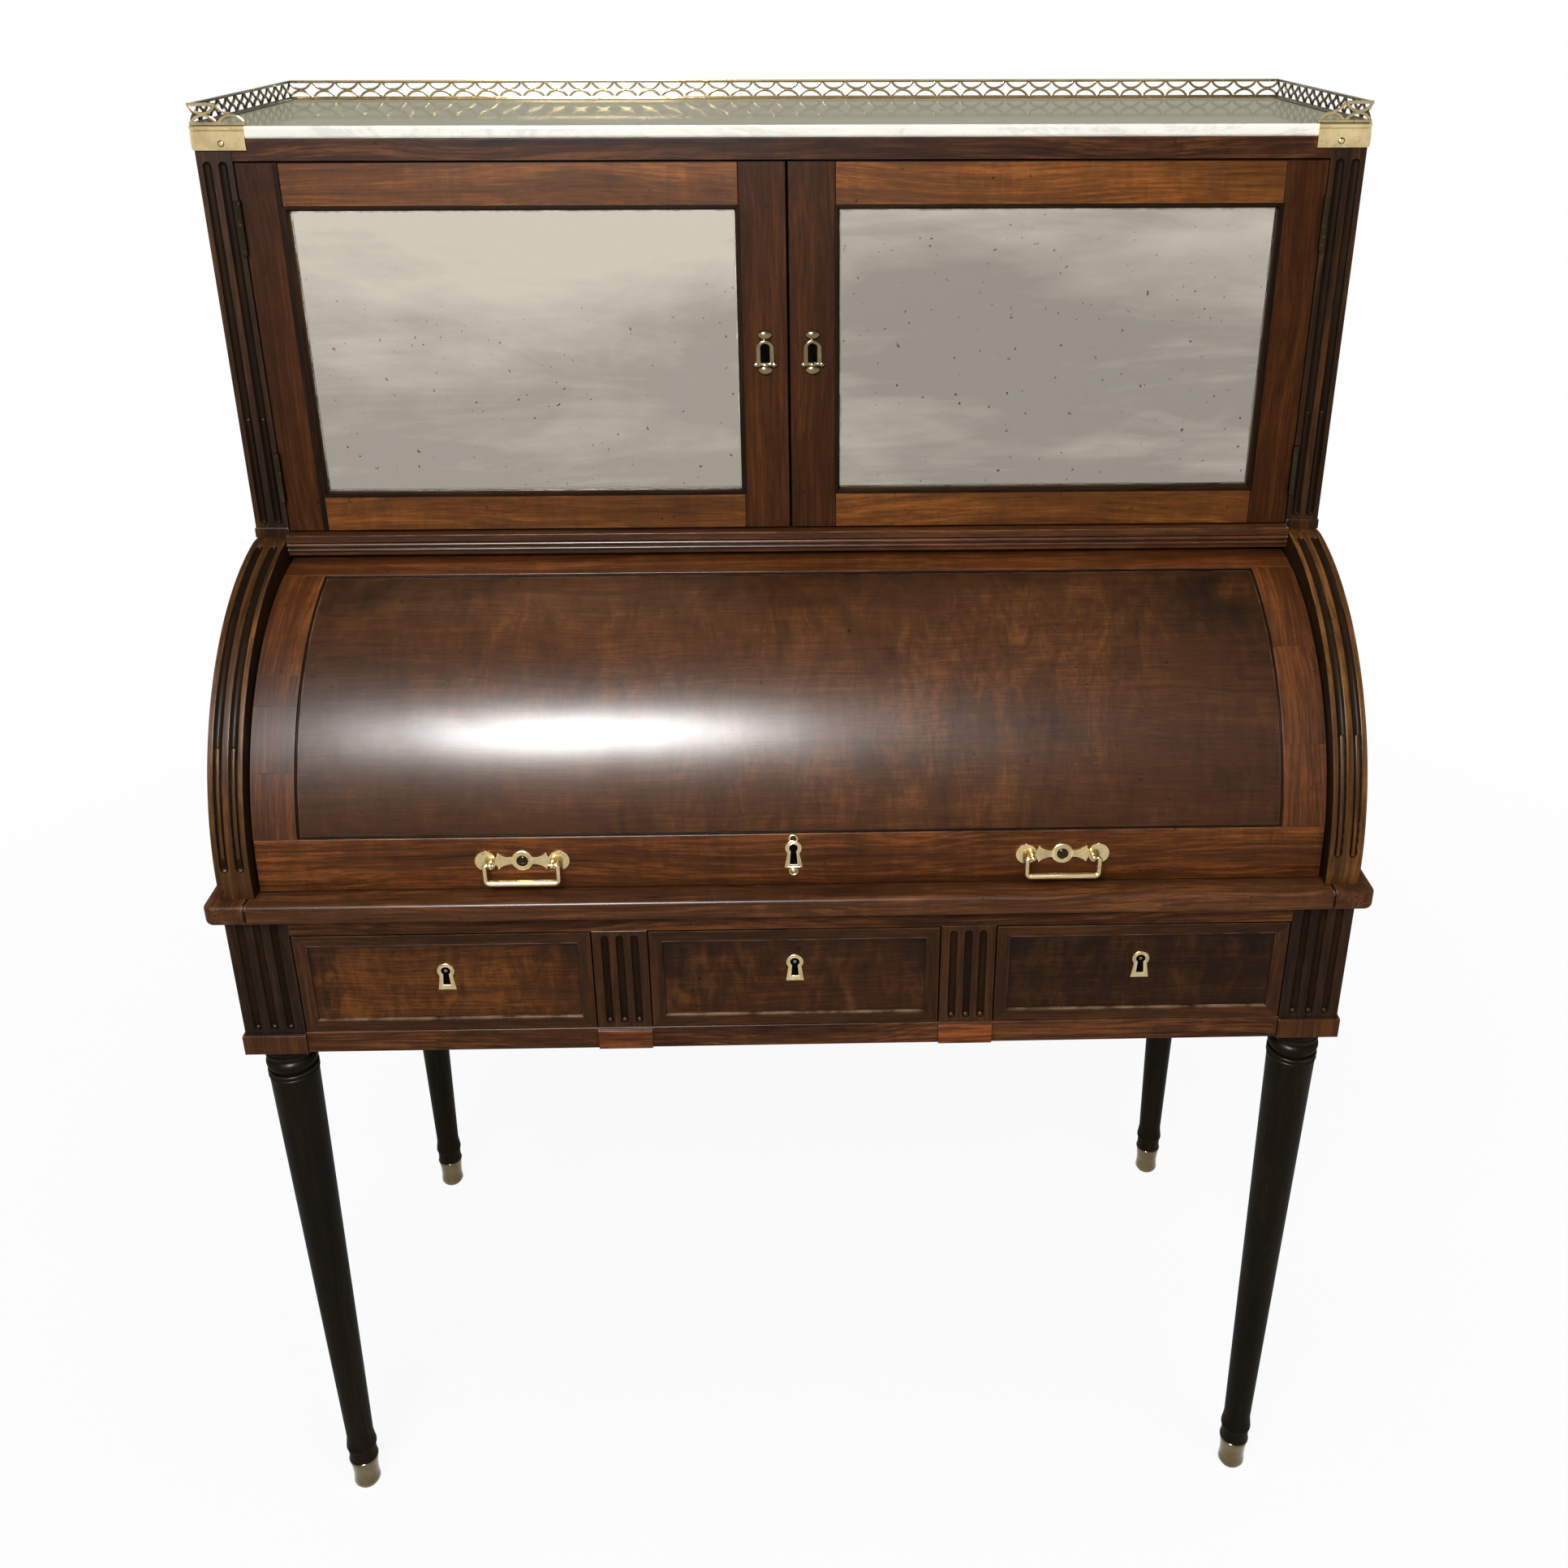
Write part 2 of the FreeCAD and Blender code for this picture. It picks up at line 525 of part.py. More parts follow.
# Moulded rail over the fall
rail_ends = ("-armIn", "armIn")
node("moulded_rail", joined(
    box(rail_ends, ("railFront", "railFront + railDeep"), ("railBottom", "cabFloor")),
    box(rail_ends, ("railFront - fasciaOut", "railFront + railDeep"), ("cabFloor - fasciaHigh", "cabFloor")),
    rod("x", "railBead", "armIn * 2", "-armIn", "railFront", "railBottom + railBeadUp"),
    rod("x", "railReed", "armIn * 2", "-armIn", "railFront", "railBottom + railReedUp"),
))


# The fall: a quarter shell with a framed panel, carried by a sector board at each end
def shell(radius, thick, half):
    return cut(
        rod("x", radius, f"({half}) * 2", f"-({half})", "axisY", "axisZ"),
        rod("x", f"({radius}) - ({thick})", f"({half}) * 2", f"-({half})", "axisY", "axisZ"),
    )


def window(inset):
    return box(
        (f"{inset} - panelHalf", f"panelHalf - {inset}"),
        ("axisY - shellRadius - overrun", f"panelTopY - {inset}"),
        (f"panelLow + {inset}", "axisZ + shellRadius + overrun"),
    )


fall_reach = (
    ("-shellHalf", "shellHalf"),
    ("axisY - shellRadius - overrun", "axisY + shellLap"),
    ("shellLow", "axisZ + shellRadius + overrun"),
)
node("fall_frame", cut(shared(shell("shellRadius", "shellThick", "shellHalf"), box(*fall_reach)), window("0")))
panel_field = shared(shell("panelRadius", "panelThick", "shellHalf"), window("0"))
panel_border = shared(
    shell("panelRadius + panelBorderProud", "panelThick", "shellHalf"), cut(window("0"), window("panelBorder")),
)
node("fall_panel", joined(panel_field, panel_border))
sector = cut(
    joined(
        shared(
            rod("x", "shellIn - seatGap", "sectorThick", "sectorIn", "axisY", "axisZ"),
            box(("sectorIn", "shellHalf"), ("axisY - shellIn", "axisY + sectorSet"),
                ("axisZ - sectorSet", "axisZ + shellIn")),
        ),
        rod("x", "hubRadius", "sectorThick", "sectorIn", "axisY", "axisZ"),
    ),
    rod("x", "pinRadius + pinClear", "sectorThick", "sectorIn", "axisY", "axisZ"),
)
node("fall_sectors", together(sector, mirrored(sector)))


# Flat outlines pushed through the shell make plates that lie on its curve
def on_fall(thick, *prisms):
    skin = shell(f"shellRadius + ({thick})", thick, "shellHalf")
    return shared(skin, joined(*prisms))


def front_span(deep):
    return (f"axisY - shellRadius - ({deep})", "axisY - shellIn")


def front_disc(radius, x, z):
    low, high = front_span("overrun")
    return rod("y", radius, f"({high}) - ({low})", x, low, z)


def front_slab(x, z):
    return box(x, front_span("overrun"), z)


# Bail handles: pierced plates with two posts each, and a drop handle that turns in the posts
handle_ends = (("handleX + handleSpan / 2", "handleX + handleSpan / 2 - postIn", "right"),
               ("handleX - handleSpan / 2", "handleX - handleSpan / 2 + postIn", "left"))
plate_prisms = [front_disc("handleRing", "handleX", "handleZ")]
posts = []
bores = []
bail_parts = []
for end, post, way in handle_ends:
    low, high = front_span("overrun")
    base = low if way == "right" else high
    sign = "+" if way == "right" else "-"
    cusp = f"handleX {sign} cuspReach"
    inner, outer = (cusp, end) if way == "right" else (end, cusp)
    plate_prisms.append(front_disc("handleDisc", end, "handleZ"))
    plate_prisms.append(taper(way, "neckThin", "neckWideHigh", "cuspReach", f"({high}) - ({low})",
                              "handleX", base, "handleZ"))
    plate_prisms.append(front_slab((inner, outer), ("handleZ - neckNotch / 2", "handleZ + neckNotch / 2")))
    posts.append(rod("y", "postRadius", "postOut - handlePlateThick / 2", post, "shellFaceY - postOut", "handleZ"))
    bores.append(rod("x", "trunnionRadius + trunnionClear", "postRadius * 4", f"{post} - postRadius * 2",
                     "pivotY", "handleZ"))
    trunnion = f"{post} - postRadius" if way == "right" else end
    bail_parts.append(rod("x", "trunnionRadius", "postIn + postRadius", trunnion, "pivotY", "handleZ"))
    bail_parts.append(rod("z", "armWire", "bailDrop", end, "pivotY", "barZ"))
    bail_parts.append(ball("armWire", end, "pivotY", "handleZ"))
bail_parts.append(rod("x", "bailBar", "handleSpan + (armWire + bailSide) * 2",
                      "handleX - handleSpan / 2 - armWire - bailSide", "pivotY", "barZ"))
pierced_plate = cut(on_fall("handlePlateThick", *plate_prisms), front_disc("handleHole", "handleX", "handleZ"))
plate_floor = on_fall("handleFloor", front_disc("handleHole", "handleX", "handleZ"))
plate_screw = shared(
    ball("handleScrew", "handleX", "shellFaceY + handleScrewSink", "handleZ"),
    on_fall("handleScrew", front_disc("handleHole", "handleX", "handleZ")),
)
handle_plate = cut(joined(pierced_plate, plate_floor, plate_screw, *posts), *bores)
node("handle_plates", together(handle_plate, mirrored(handle_plate)))
bail = node("bail_right", joined(*bail_parts))
node("bail_left", mirrored(bail))


# Keyhole plate with an arched opening, flared foot and round lugs above and below
def key_plate(disc, slab, x, z):
    top = f"{z} + boltBodyHigh / 2"
    arch = f"{top} - boltBodyWide / 2"
    low = f"{z} - boltBodyHigh / 2"
    foot = f"{low} - boltFootHigh"
    plate = [
        slab((f"{x} - boltBodyWide / 2", f"{x} + boltBodyWide / 2"), (foot, arch)),
        slab((f"{x} - boltFootWide / 2", f"{x} + boltFootWide / 2"), (foot, low)),
        disc("boltBodyWide / 2", x, arch),
        disc("boltLugRadius", x, f"{top} + boltLugGap"),
        disc("boltLugRadius", x, foot),
    ]
    hole = [
        slab((f"{x} - boltSlotWide / 2", f"{x} + boltSlotWide / 2"), (f"{z} - boltBodyHigh / 2 + boltLugGap", arch)),
        disc("boltSlotWide / 2", x, arch),
    ]
    return plate, hole


fall_low, fall_high = front_span("overrun")
fall_eye = "fallKeyZ + fallKeyEye"
fall_foot = "fallKeyZ - fallKeyFoot"
fall_plate = [
    front_disc("fallKeyRound", "0", fall_eye),
    taper("up", "fallKeyFootWide", "fallKeyNeckWide", "fallKeyEye + fallKeyFoot", f"({fall_high}) - ({fall_low})",
          "0", fall_high, fall_foot),
    front_disc("fallKeyRing", "0", "fallKeyZ + fallKeyRingUp"),
    front_disc("fallKeyRing", "0", "fallKeyZ - fallKeyRingUp"),
]
fall_hole = [
    front_disc("fallKeyHole", "0", fall_eye),
    front_slab(("-fallKeySlotWide / 2", "fallKeySlotWide / 2"), (f"{fall_foot} + fallKeyRim", fall_eye)),
]
fall_key = cut(on_fall("boltPlateThick", *fall_plate), *fall_hole)
fall_lock = shared(
    shell("shellIn - seatGap", "fallLockThick", "shellHalf"),
    box(("-fallLockWide / 2", "fallLockWide / 2"), ("axisY - shellRadius", "axisY - shellIn / 2"),
        ("fallKeyZ - fallLockHigh / 2", "fallKeyZ + fallLockHigh / 2")),
)
node("fall_fittings", together(fall_key, fall_lock))

# Frieze drawers: framed front, open box behind it, keyhole plate and lock
bays = {
    "left": ("-dieIn", "-dividerOut", "keyLiftLeft"),
    "centre": ("-centreHalf", "centreHalf", "keyLiftCentre"),
    "right": ("dividerOut", "dieIn", "keyLiftRight"),
}
front_back = "frontFace + drawerFrontThick"
recess = "frontFace + drawerRecess"
key_front = f"{recess} - plateThick"
for side, (bay_low, bay_high, key_lift) in bays.items():
    x0, x1 = f"{bay_low} + drawerGap", f"{bay_high} - drawerGap"
    z0, z1 = "drawerLow + drawerGap", "drawerTop - drawerGap"
    f0, f1 = f"{x0} + drawerFrame", f"{x1} - drawerFrame"
    g0, g1 = f"{z0} + drawerFrame", f"{z1} - drawerFrame"
    board = box((x0, x1), ("frontFace", front_back), (z0, z1))
    field = box((f0, f1), ("frontFace - overrun", recess), (g0, g1))
    beads = [rod("x", "drawerBead", f"({f1}) - ({f0})", f0, recess, place) for place in (g0, g1)]
    beads += [rod("z", "drawerBead", f"({g1}) - ({g0})", place, recess, g0) for place in (f0, f1)]
    node(f"drawer_{side}_front", joined(cut(board, field), *beads))
    box_back = "apronBackIn - drawerRear"
    box_top = "drawerLow + drawerBoxHigh"
    node(f"drawer_{side}_box", joined(
        box((x0, f"{x0} + drawerWall"), (front_back, box_back), ("drawerLow", box_top)),
        box((f"{x1} - drawerWall", x1), (front_back, box_back), ("drawerLow", box_top)),
        box((x0, x1), (f"{box_back} - drawerWall", box_back), ("drawerLow", box_top)),
        box((x0, x1), (front_back, box_back), ("drawerLow + drawerFloorUp",
                                                "drawerLow + drawerFloorUp + drawerFloorThick")),
    ))
    middle = f"({bay_low} + {bay_high}) / 2"
    key_z = f"(drawerLow + drawerTop) / 2 + {key_lift}"
    eye = f"{key_z} + keyHigh / 2 - keyRound"
    foot = f"{key_z} - keyHigh / 2"
    plate = joined(
        rod("y", "keyRound", "plateThick", middle, key_front, eye),
        taper("up", "keyFootWide", "keyNeckWide", f"({eye}) - ({foot})", "plateThick", middle, recess, foot),
    )
    hole = joined(
        rod("y", "keyHoleRadius", "plateThick", middle, key_front, eye),
        box((f"{middle} - keySlotWide / 2", f"{middle} + keySlotWide / 2"), (key_front, recess),
            (f"{eye} - keySlotDeep", eye)),
    )
    lock_top = f"{z1} - drawerLockUp"
    lock = box(
        (f"{middle} - drawerLockWide / 2", f"{middle} + drawerLockWide / 2"),
        (front_back, f"{front_back} + drawerLockThick"),
        (f"{lock_top} - drawerLockHigh", lock_top),
    )
    node(f"drawer_{side}_fittings", together(cut(plate, hole), lock))

# Nest inside the fall: three small drawers under a row of pigeonholes
nest_y = ("nestFront", "nestBack")
nest_z = ("slabTop", "nestTop")
nest_boards = [
    box(("-nestHalf", "nestHalf"), nest_y, ("slabTop", "nestDrawerLow")),
    box(("-nestHalf", "nestHalf"), nest_y, ("nestTop - nestWall", "nestTop")),
    box(("-nestHalf", "nestHalf"), nest_y, ("nestShelf", "nestShelf + nestWall")),
    box(("-nestHalf", "nestHalf"), ("nestBack - nestBackThick", "nestBack"), nest_z),
    box(("-nestHalf", "nestWall - nestHalf"), nest_y, nest_z),
    box(("nestHalf - nestWall", "nestHalf"), nest_y, nest_z),
]
for count in (1, 2):
    left = f"(nestBay + nestWall) * {count} - nestHalf"
    nest_boards.append(box((left, f"{left} + nestWall"), nest_y, nest_z))
middle_part = box(("-nestWall / 2", "nestWall / 2"), nest_y, ("nestShelf", "nestTop"))
node("nest_case", joined(*nest_boards, middle_part))
for index, side in enumerate(("left", "centre", "right")):
    left = f"(nestBay + nestWall) * {index} - nestHalf + nestWall + nestDrawerGap"
    right = f"(nestBay + nestWall) * {index + 1} - nestHalf - nestDrawerGap"
    top = "nestShelf - nestDrawerGap * 2"
    y0, y1 = "nestFront", "nestFront + nestDrawerDeep"
    block = box((left, right), (y0, y1), ("nestDrawerLow", top))
    hollow = box((f"{left} + nestDrawerWall", f"{right} - nestDrawerWall"),
                 (f"{y0} + nestDrawerWall", f"{y1} - nestDrawerWall"),
                 ("nestDrawerLow + nestDrawerFloor", "nestShelf + overrun"))
    middle = f"({left} + {right}) / 2"
    knob_z = "(nestDrawerLow + nestShelf) / 2"
    stem = rod("y", "knobStem", "knobOut", middle, f"{y0} - knobOut", knob_z)
    node(f"nest_drawer_{side}", joined(cut(block, hollow), stem,
                                       ball("knobRadius", middle, f"{y0} - knobOut", knob_z)))

# Cabinet: fluted uprights with side panels, floor, top rail board, back and shelf
hinge_z = {
    "low": ("doorLow + hingeInset", "doorLow + hingeInset + hingeHigh"),
    "top": ("doorTop - hingeInset - hingeHigh", "doorTop - hingeInset"),
}
upright = joined(
    box(("armIn", "halfWide"), ("cabFront", "cabFront + postDeep"), ("cabLow", "cabTop")),
    box(("halfWide - sidePanel", "halfWide"), ("cabFront", "backFace"), ("cabLow", "cabTop")),
    box(("armIn", "halfWide + footOut"), ("cabFront - footOut", "cabFront + postDeep"),
        ("cabLow", "cabLow + footHigh")),
)
cab_low = "cabLow + cabFluteLow"
cab_grooves = []
cab_reeds = []
for share in flute_shares:
    x = f"armIn + armThick * {share}"
    cab_grooves.append(flute(x, "cabFront", cab_low, "cabTop - cabFluteTop", "fluteRadius", "fluteDepth"))
    cab_reeds.append(reed(x, "cabFront", cab_low, f"{cab_low} + cabReedHigh"))
post_beds = [
    box(("armIn", "armIn + leafThick"), ("cabFront", "cabFront + leafDeep"), span) for span in hinge_z.values()
]
cab_side = node("cabinet_side_right", joined(cut(upright, *cab_grooves, *post_beds), *cab_reeds))
node("cabinet_side_left", mirrored(cab_side))
node("cabinet_floor", box(rail_ends, ("railFront + railDeep", "backIn"), ("cabFloor - floorThick", "cabFloor")))
wide_in = ("sidePanel - halfWide", "halfWide - sidePanel")
top_rail_z = ("cabTop - topRailHigh", "cabTop")
node("cabinet_top", joined(
    box(rail_ends, ("cabFront", "backIn"), top_rail_z),
    box(wide_in, ("cabFront + postDeep", "backIn"), top_rail_z),
))
node("cabinet_back", box(wide_in, ("backIn", "backFace"), ("cabLow", "cabTop")))
node("cabinet_shelf", box(wide_in, ("cabFront + shelfSet", "backIn"),
                          ("cabFloor + shelfUp", "cabFloor + shelfUp + shelfThick")))

# Mirror doors on butt hinges
door_board = box(("doorIn", "doorOut"), ("cabFront", "doorBack"), ("doorLow", "doorTop"))
sight = box(("sightIn", "sightOut"), ("cabFront - overrun", "doorBack"), ("sightLow", "sightTop"))
glass_bed = box(("sightIn - rebate", "sightOut + rebate"), ("mirrorFace", "doorBack + overrun"),
                ("sightLow - rebate", "sightTop + rebate"))
door_beds = [
    box(("doorOut - leafThick", "doorOut"), ("cabFront", "cabFront + leafDeep"), span) for span in hinge_z.values()
]
bead_y = "cabFront + lipThick / 2"
door_beads = [rod("x", "doorBead", "sightOut - sightIn", "sightIn", bead_y, place)
              for place in ("sightLow", "sightTop")]
door_beads += [rod("z", "doorBead", "sightTop - sightLow", place, bead_y, "sightLow")
               for place in ("sightIn", "sightOut")]
door_frame = joined(cut(door_board, sight, glass_bed, *door_beds), *door_beads)
glass_x = ("sightIn - rebate + mirrorFit", "sightOut + rebate - mirrorFit")
glass_z = ("sightLow - rebate + mirrorFit", "sightTop + rebate - mirrorFit")
mirror_plate = box(glass_x, ("mirrorFace", "mirrorBack"), glass_z)
backing = box(glass_x, ("mirrorBack", "backingBack"), glass_z)


def door_disc(radius, x, z):
    return rod("y", radius, "boltPlateThick", x, "cabFront - boltPlateThick", z)


def door_slab(x, z):
    return box(x, ("cabFront - boltPlateThick", "cabFront"), z)


door_plate, door_hole = key_plate(door_disc, door_slab, "doorKeyX", "doorKeyZ")
door_key = cut(joined(*door_plate), *door_hole)
door_lock = box(
    ("doorKeyX - doorLockWide / 2", "doorKeyX + doorLockWide / 2"),
    ("doorBack", "doorBack + doorLockThick"),
    ("doorKeyZ - doorLockHigh / 2", "doorKeyZ + doorLockHigh / 2"),
)
post_leaves = []
door_leaves = []
leaf_y = ("cabFront", "cabFront + leafDeep")
strip_y = ("hingeY", "cabFront")
for low, high in hinge_z.values():
    third = f"(({high}) - ({low})) / 3"
    mid_low = f"{low} + {third}"
    mid_high = f"{high} - {third}"
    post_parts = [
        box(("armIn", "armIn + leafThick"), leaf_y, (low, high)),
        rod("z", "hingePin", f"({high}) - ({low})", "hingeX", "hingeY", low),
    ]
    for end_low, end_high in ((low, f"{mid_low} - knuckleGap"), (f"{mid_high} + knuckleGap", high)):
        post_parts.append(box(("armIn", "armIn + leafThick"), strip_y, (end_low, end_high)))
        post_parts.append(rod("z", "knuckleRadius", f"({end_high}) - ({end_low})", "hingeX", "hingeY", end_low))
    post_leaves.append(joined(*post_parts))
    knuckle = joined(
        box(("doorOut - leafThick", "doorOut"), leaf_y, (low, high)),
        box(("doorOut - leafThick", "doorOut"), strip_y, (mid_low, mid_high)),
        rod("z", "knuckleRadius", f"({mid_high}) - ({mid_low})", "hingeX", "hingeY", mid_low),
    )
    door_leaves.append(cut(knuckle, rod("z", "hingePin + hingeClear", f"({high}) - ({low})", "hingeX", "hingeY", low)))
node("hinge_leaves", together(*post_leaves, *[mirrored(item) for item in post_leaves]))
node("door_right_frame", door_frame)
node("door_right_mirror", mirror_plate)
node("door_right_backing", backing)
node("door_right_fittings", together(door_key, *door_leaves, door_lock))
node("door_left_frame", mirrored(door_frame))
node("door_left_mirror", mirrored(mirror_plate))
node("door_left_backing", mirrored(backing))
node("door_left_fittings", mirrored(together(door_key, *door_leaves)))

# Marble top with softened edges
marble = rounded(
    ("-marbleHalf", "marbleHalf"), ("marbleFront", "backFace"), ("cabTop", "marbleTop"),
    [(("front", "left"), "marbleCorner"), (("front", "right"), "marbleCorner"),
     (("front", "top"), "marbleRound"), (("front", "low"), "marbleRound")],
)
node("marble_top", marble)

# Pierced brass gallery: each unit has an arch below and an arch hanging above, with a star between units
lens_share = 0.46
star_wide_share = 0.22
star_high_share = 0.62
star_pull_share = 0.74
step_share = 1.08
ogee_shares = ((0.74, 0.7), (0.6, 0.34))


def spot(x, z):
    return FreeCAD.Vector(x, 0, z)


def outline(*runs):
    return Part.Wire([(Part.Arc(*run) if len(run) == 3 else Part.LineSegment(*run)).toShape() for run in runs])


def pierced(length, stepped):
    high, rail, band, thick, pitch_aim, flange, cap = [value(name) for name in (
        "galleryHigh", "galleryRail", "galleryBand", "galleryThick", "galleryPitch", "flangeWide", "flangeThick")]
    count = max(2, round(length / pitch_aim))
    pitch = length / count
    middle = high / 2
    end = length
    if stepped:
        end = pitch * step_share
        bow = spot(length - pitch / 2, middle + band / 2)
        (bow_x, bow_z), (dip_x, dip_z) = ogee_shares
        side = [
            (spot(length, 0), spot(length, rail)),
            (spot(length, rail), spot(bow.x + pitch / 2 * bow_x, rail + (bow.z - rail) * bow_z), bow),
            (bow, spot(bow.x + (end - bow.x) * dip_x, bow.z + (high - bow.z) * dip_z), spot(end, high)),
        ]
    else:
        side = [(spot(length, 0), spot(length, high))]
    edge = outline((spot(0, 0), spot(length, 0)), *side, (spot(end, high), spot(0, high)), (spot(0, high), spot(0, 0)))
    holes = []
    for index in range(count):
        centre = pitch * (index + 0.5)
        half = pitch * lens_share - band / 4
        rows = [(rail, middle - band / 2)]
        if centre < end:
            rows.append((high - rail, middle + band / 2))
        for base, crown in rows:
            first, last = spot(centre - half, base), spot(centre + half, base)
            holes.append(outline((first, last), (last, spot(centre, crown), first)))
    for index in range(1, count):
        x = pitch * index
        wide, tall = pitch * star_wide_share, middle * star_high_share
        tips = [spot(x + wide, middle), spot(x, middle + tall), spot(x - wide, middle), spot(x, middle - tall)]
        heart = spot(x, middle)
        sides = []
        for first, last in zip(tips, tips[1:] + tips[:1]):
            sides.append((first, heart + (first + last - heart * 2) * (star_pull_share / 2), last))
        holes.append(outline(*sides))
    strip = Part.makeFace([edge] + holes, "Part::FaceMakerBullseye").extrude(FreeCAD.Vector(0, thick, 0))
    lip = Part.makeBox(end, flange, cap, FreeCAD.Vector(0, (thick - flange) / 2, high - cap))
    return strip.fuse(lip)


def gallery_shape():
    half, front, back, low = (value(name) for name in ("galleryHalf", "galleryFront", "backFace", "marbleTop"))
    thick = value("galleryThick")
    inset = (value("flangeWide") - thick) / 2
    rear = pierced(half * 2 - inset * 2, False)
    rear.translate(FreeCAD.Vector(inset - half, back - inset - thick, low))
    flank = pierced(back - front - inset * 2, False)
    flank.rotate(FreeCAD.Vector(), FreeCAD.Vector(0, 0, 1), 90)
    flank.translate(FreeCAD.Vector(half - inset, front + inset, low))
    turn = pierced(value("galleryPitch") * 2, True)
    turn.rotate(FreeCAD.Vector(), FreeCAD.Vector(0, 0, 1), 180)
    turn.translate(FreeCAD.Vector(half - inset, front + inset + thick, low))
    across = FreeCAD.Vector(1, 0, 0)
    pieces = [flank, turn, flank.mirror(FreeCAD.Vector(), across), turn.mirror(FreeCAD.Vector(), across)]
    return rear.multiFuse(pieces).removeSplitter()


gallery = doc.addObject("Part::Feature", "Gallery")
gallery.Shape = gallery_shape()

# Brass plates that wrap the front corners of the marble
corner_z = ("cabTop - cornerLow", "marbleTop")
corner_outer = rounded(
    ("marbleHalf + cornerThick - cornerWide", "marbleHalf + cornerThick"),
    ("marbleFront - cornerThick", "marbleFront - cornerThick + cornerDeep"), corner_z,
    [(("front", "right"), "cornerRound")],
)
corner_inner = rounded(
    ("marbleHalf - cornerWide - overrun", "marbleHalf"),
    ("marbleFront", "marbleFront + cornerDeep + overrun"),
    ("cabTop - cornerLow - overrun", "marbleTop + overrun"),
    [(("front", "right"), "cornerRound - cornerThick")],
)
corner_screw = rod("y", "screwRadius", "screwProud + cornerThick + marbleOver",
                   "marbleHalf + cornerThick - cornerWide / 2", "marbleFront - cornerThick - screwProud",
                   "cabTop - cornerLow + screwUp")
corner = joined(cut(corner_outer, corner_inner), corner_screw)
node("gallery", together(gallery, corner, mirrored(corner)))

doc.recompute()
faults = [item.Label for item in doc.Objects if set(item.State) & {"Invalid", "Error"}]
faults += [label for label, item in nodes.items() if item.Shape.isNull() or not item.Shape.isValid()]
if faults:
    raise RuntimeError("not built: " + ", ".join(faults))
os.makedirs("parts", exist_ok=True)
for label, item in nodes.items():
    item.Shape.exportStep(f"parts/{label}.step")
print(len(nodes), "nodes")
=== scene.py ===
import bpy
import bmesh
import math
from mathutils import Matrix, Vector


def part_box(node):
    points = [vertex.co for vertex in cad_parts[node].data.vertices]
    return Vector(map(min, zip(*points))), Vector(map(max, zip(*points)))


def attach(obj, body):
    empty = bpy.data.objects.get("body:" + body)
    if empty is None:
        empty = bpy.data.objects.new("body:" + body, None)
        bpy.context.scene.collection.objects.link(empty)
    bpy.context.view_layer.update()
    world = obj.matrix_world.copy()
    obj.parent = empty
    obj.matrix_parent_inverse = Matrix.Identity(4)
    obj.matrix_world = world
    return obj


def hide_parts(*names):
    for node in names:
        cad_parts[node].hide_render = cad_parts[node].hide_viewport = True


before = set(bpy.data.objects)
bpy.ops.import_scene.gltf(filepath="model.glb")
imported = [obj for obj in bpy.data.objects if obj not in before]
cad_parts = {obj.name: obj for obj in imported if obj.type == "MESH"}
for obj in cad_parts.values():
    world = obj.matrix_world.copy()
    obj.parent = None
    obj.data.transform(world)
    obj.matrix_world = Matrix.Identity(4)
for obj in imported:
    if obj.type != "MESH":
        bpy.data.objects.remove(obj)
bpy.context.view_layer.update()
print("frame loaded:", len(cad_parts), "nodes")

# for each way of the grain: along it, across it, through the board
axisOrder = {"x": (0, 2, 1), "y": (1, 0, 2), "z": (2, 0, 1)}
twoSides, threeSides = ("left", "right"), ("left", "centre", "right")
handed = {"left": -1, "right": 1}


def newPiece(name, data):
    piece = bpy.data.objects.new(name, data)
    bpy.context.scene.collection.objects.link(piece)
    return piece


def bake(piece):
    # the evaluated mesh takes the place of the mesh and its modifiers
    graph = bpy.context.evaluated_depsgraph_get()
    graph.update()
    shown = piece.evaluated_get(graph)
    mesh = bpy.data.meshes.new_from_object(shown, preserve_all_data_layers=True, depsgraph=graph)
    piece.modifiers.clear()
    old, piece.data = piece.data, mesh
    bpy.data.meshes.remove(old)
    mesh.name = piece.name


def seedOf(name):
    # every board has its own place in the grain
    total = sum((i + 1) * ord(letter) for i, letter in enumerate(name))
    return Vector((total * 0.137 % 7.0, total * 0.311 % 5.0, total * 0.173 % 3.0))


def alongAxis(axis, name):
    shift = seedOf(name)
    return lambda co: Vector([co[k] for k in axisOrder[axis]]) + shift


def newStock():
    return {"verts": [], "faces": [], "grain": [], "finish": [], "joint": []}


def addShape(stock, bm, grain, finish=0, bend=None, flat=None):
    # a bmesh joins the stock; grain is read before any bending, and side faces may have another
    bm.verts.index_update()
    start = len(stock["verts"])
    for vert in bm.verts:
        stock["verts"].append(bend(vert.co) if bend else vert.co.copy())
    # a cut leaves faces in any order, so they and their corners are put in order
    for face in sorted(bm.faces, key=lambda face: sorted(vert.index for vert in face.verts)):
        verts = list(face.verts)
        first = verts.index(min(verts, key=lambda vert: vert.index))
        verts = verts[first:] + verts[:first]
        stock["faces"].append([start + vert.index for vert in verts])
        stock["finish"].append(finish(face) if callable(finish) else finish)
        pick = flat if flat and abs(face.normal.x) > 0.9 else grain
        for vert in verts:
            stock["grain"].extend(pick(vert.co))
            stock["joint"].append(0.0)
    bm.free()


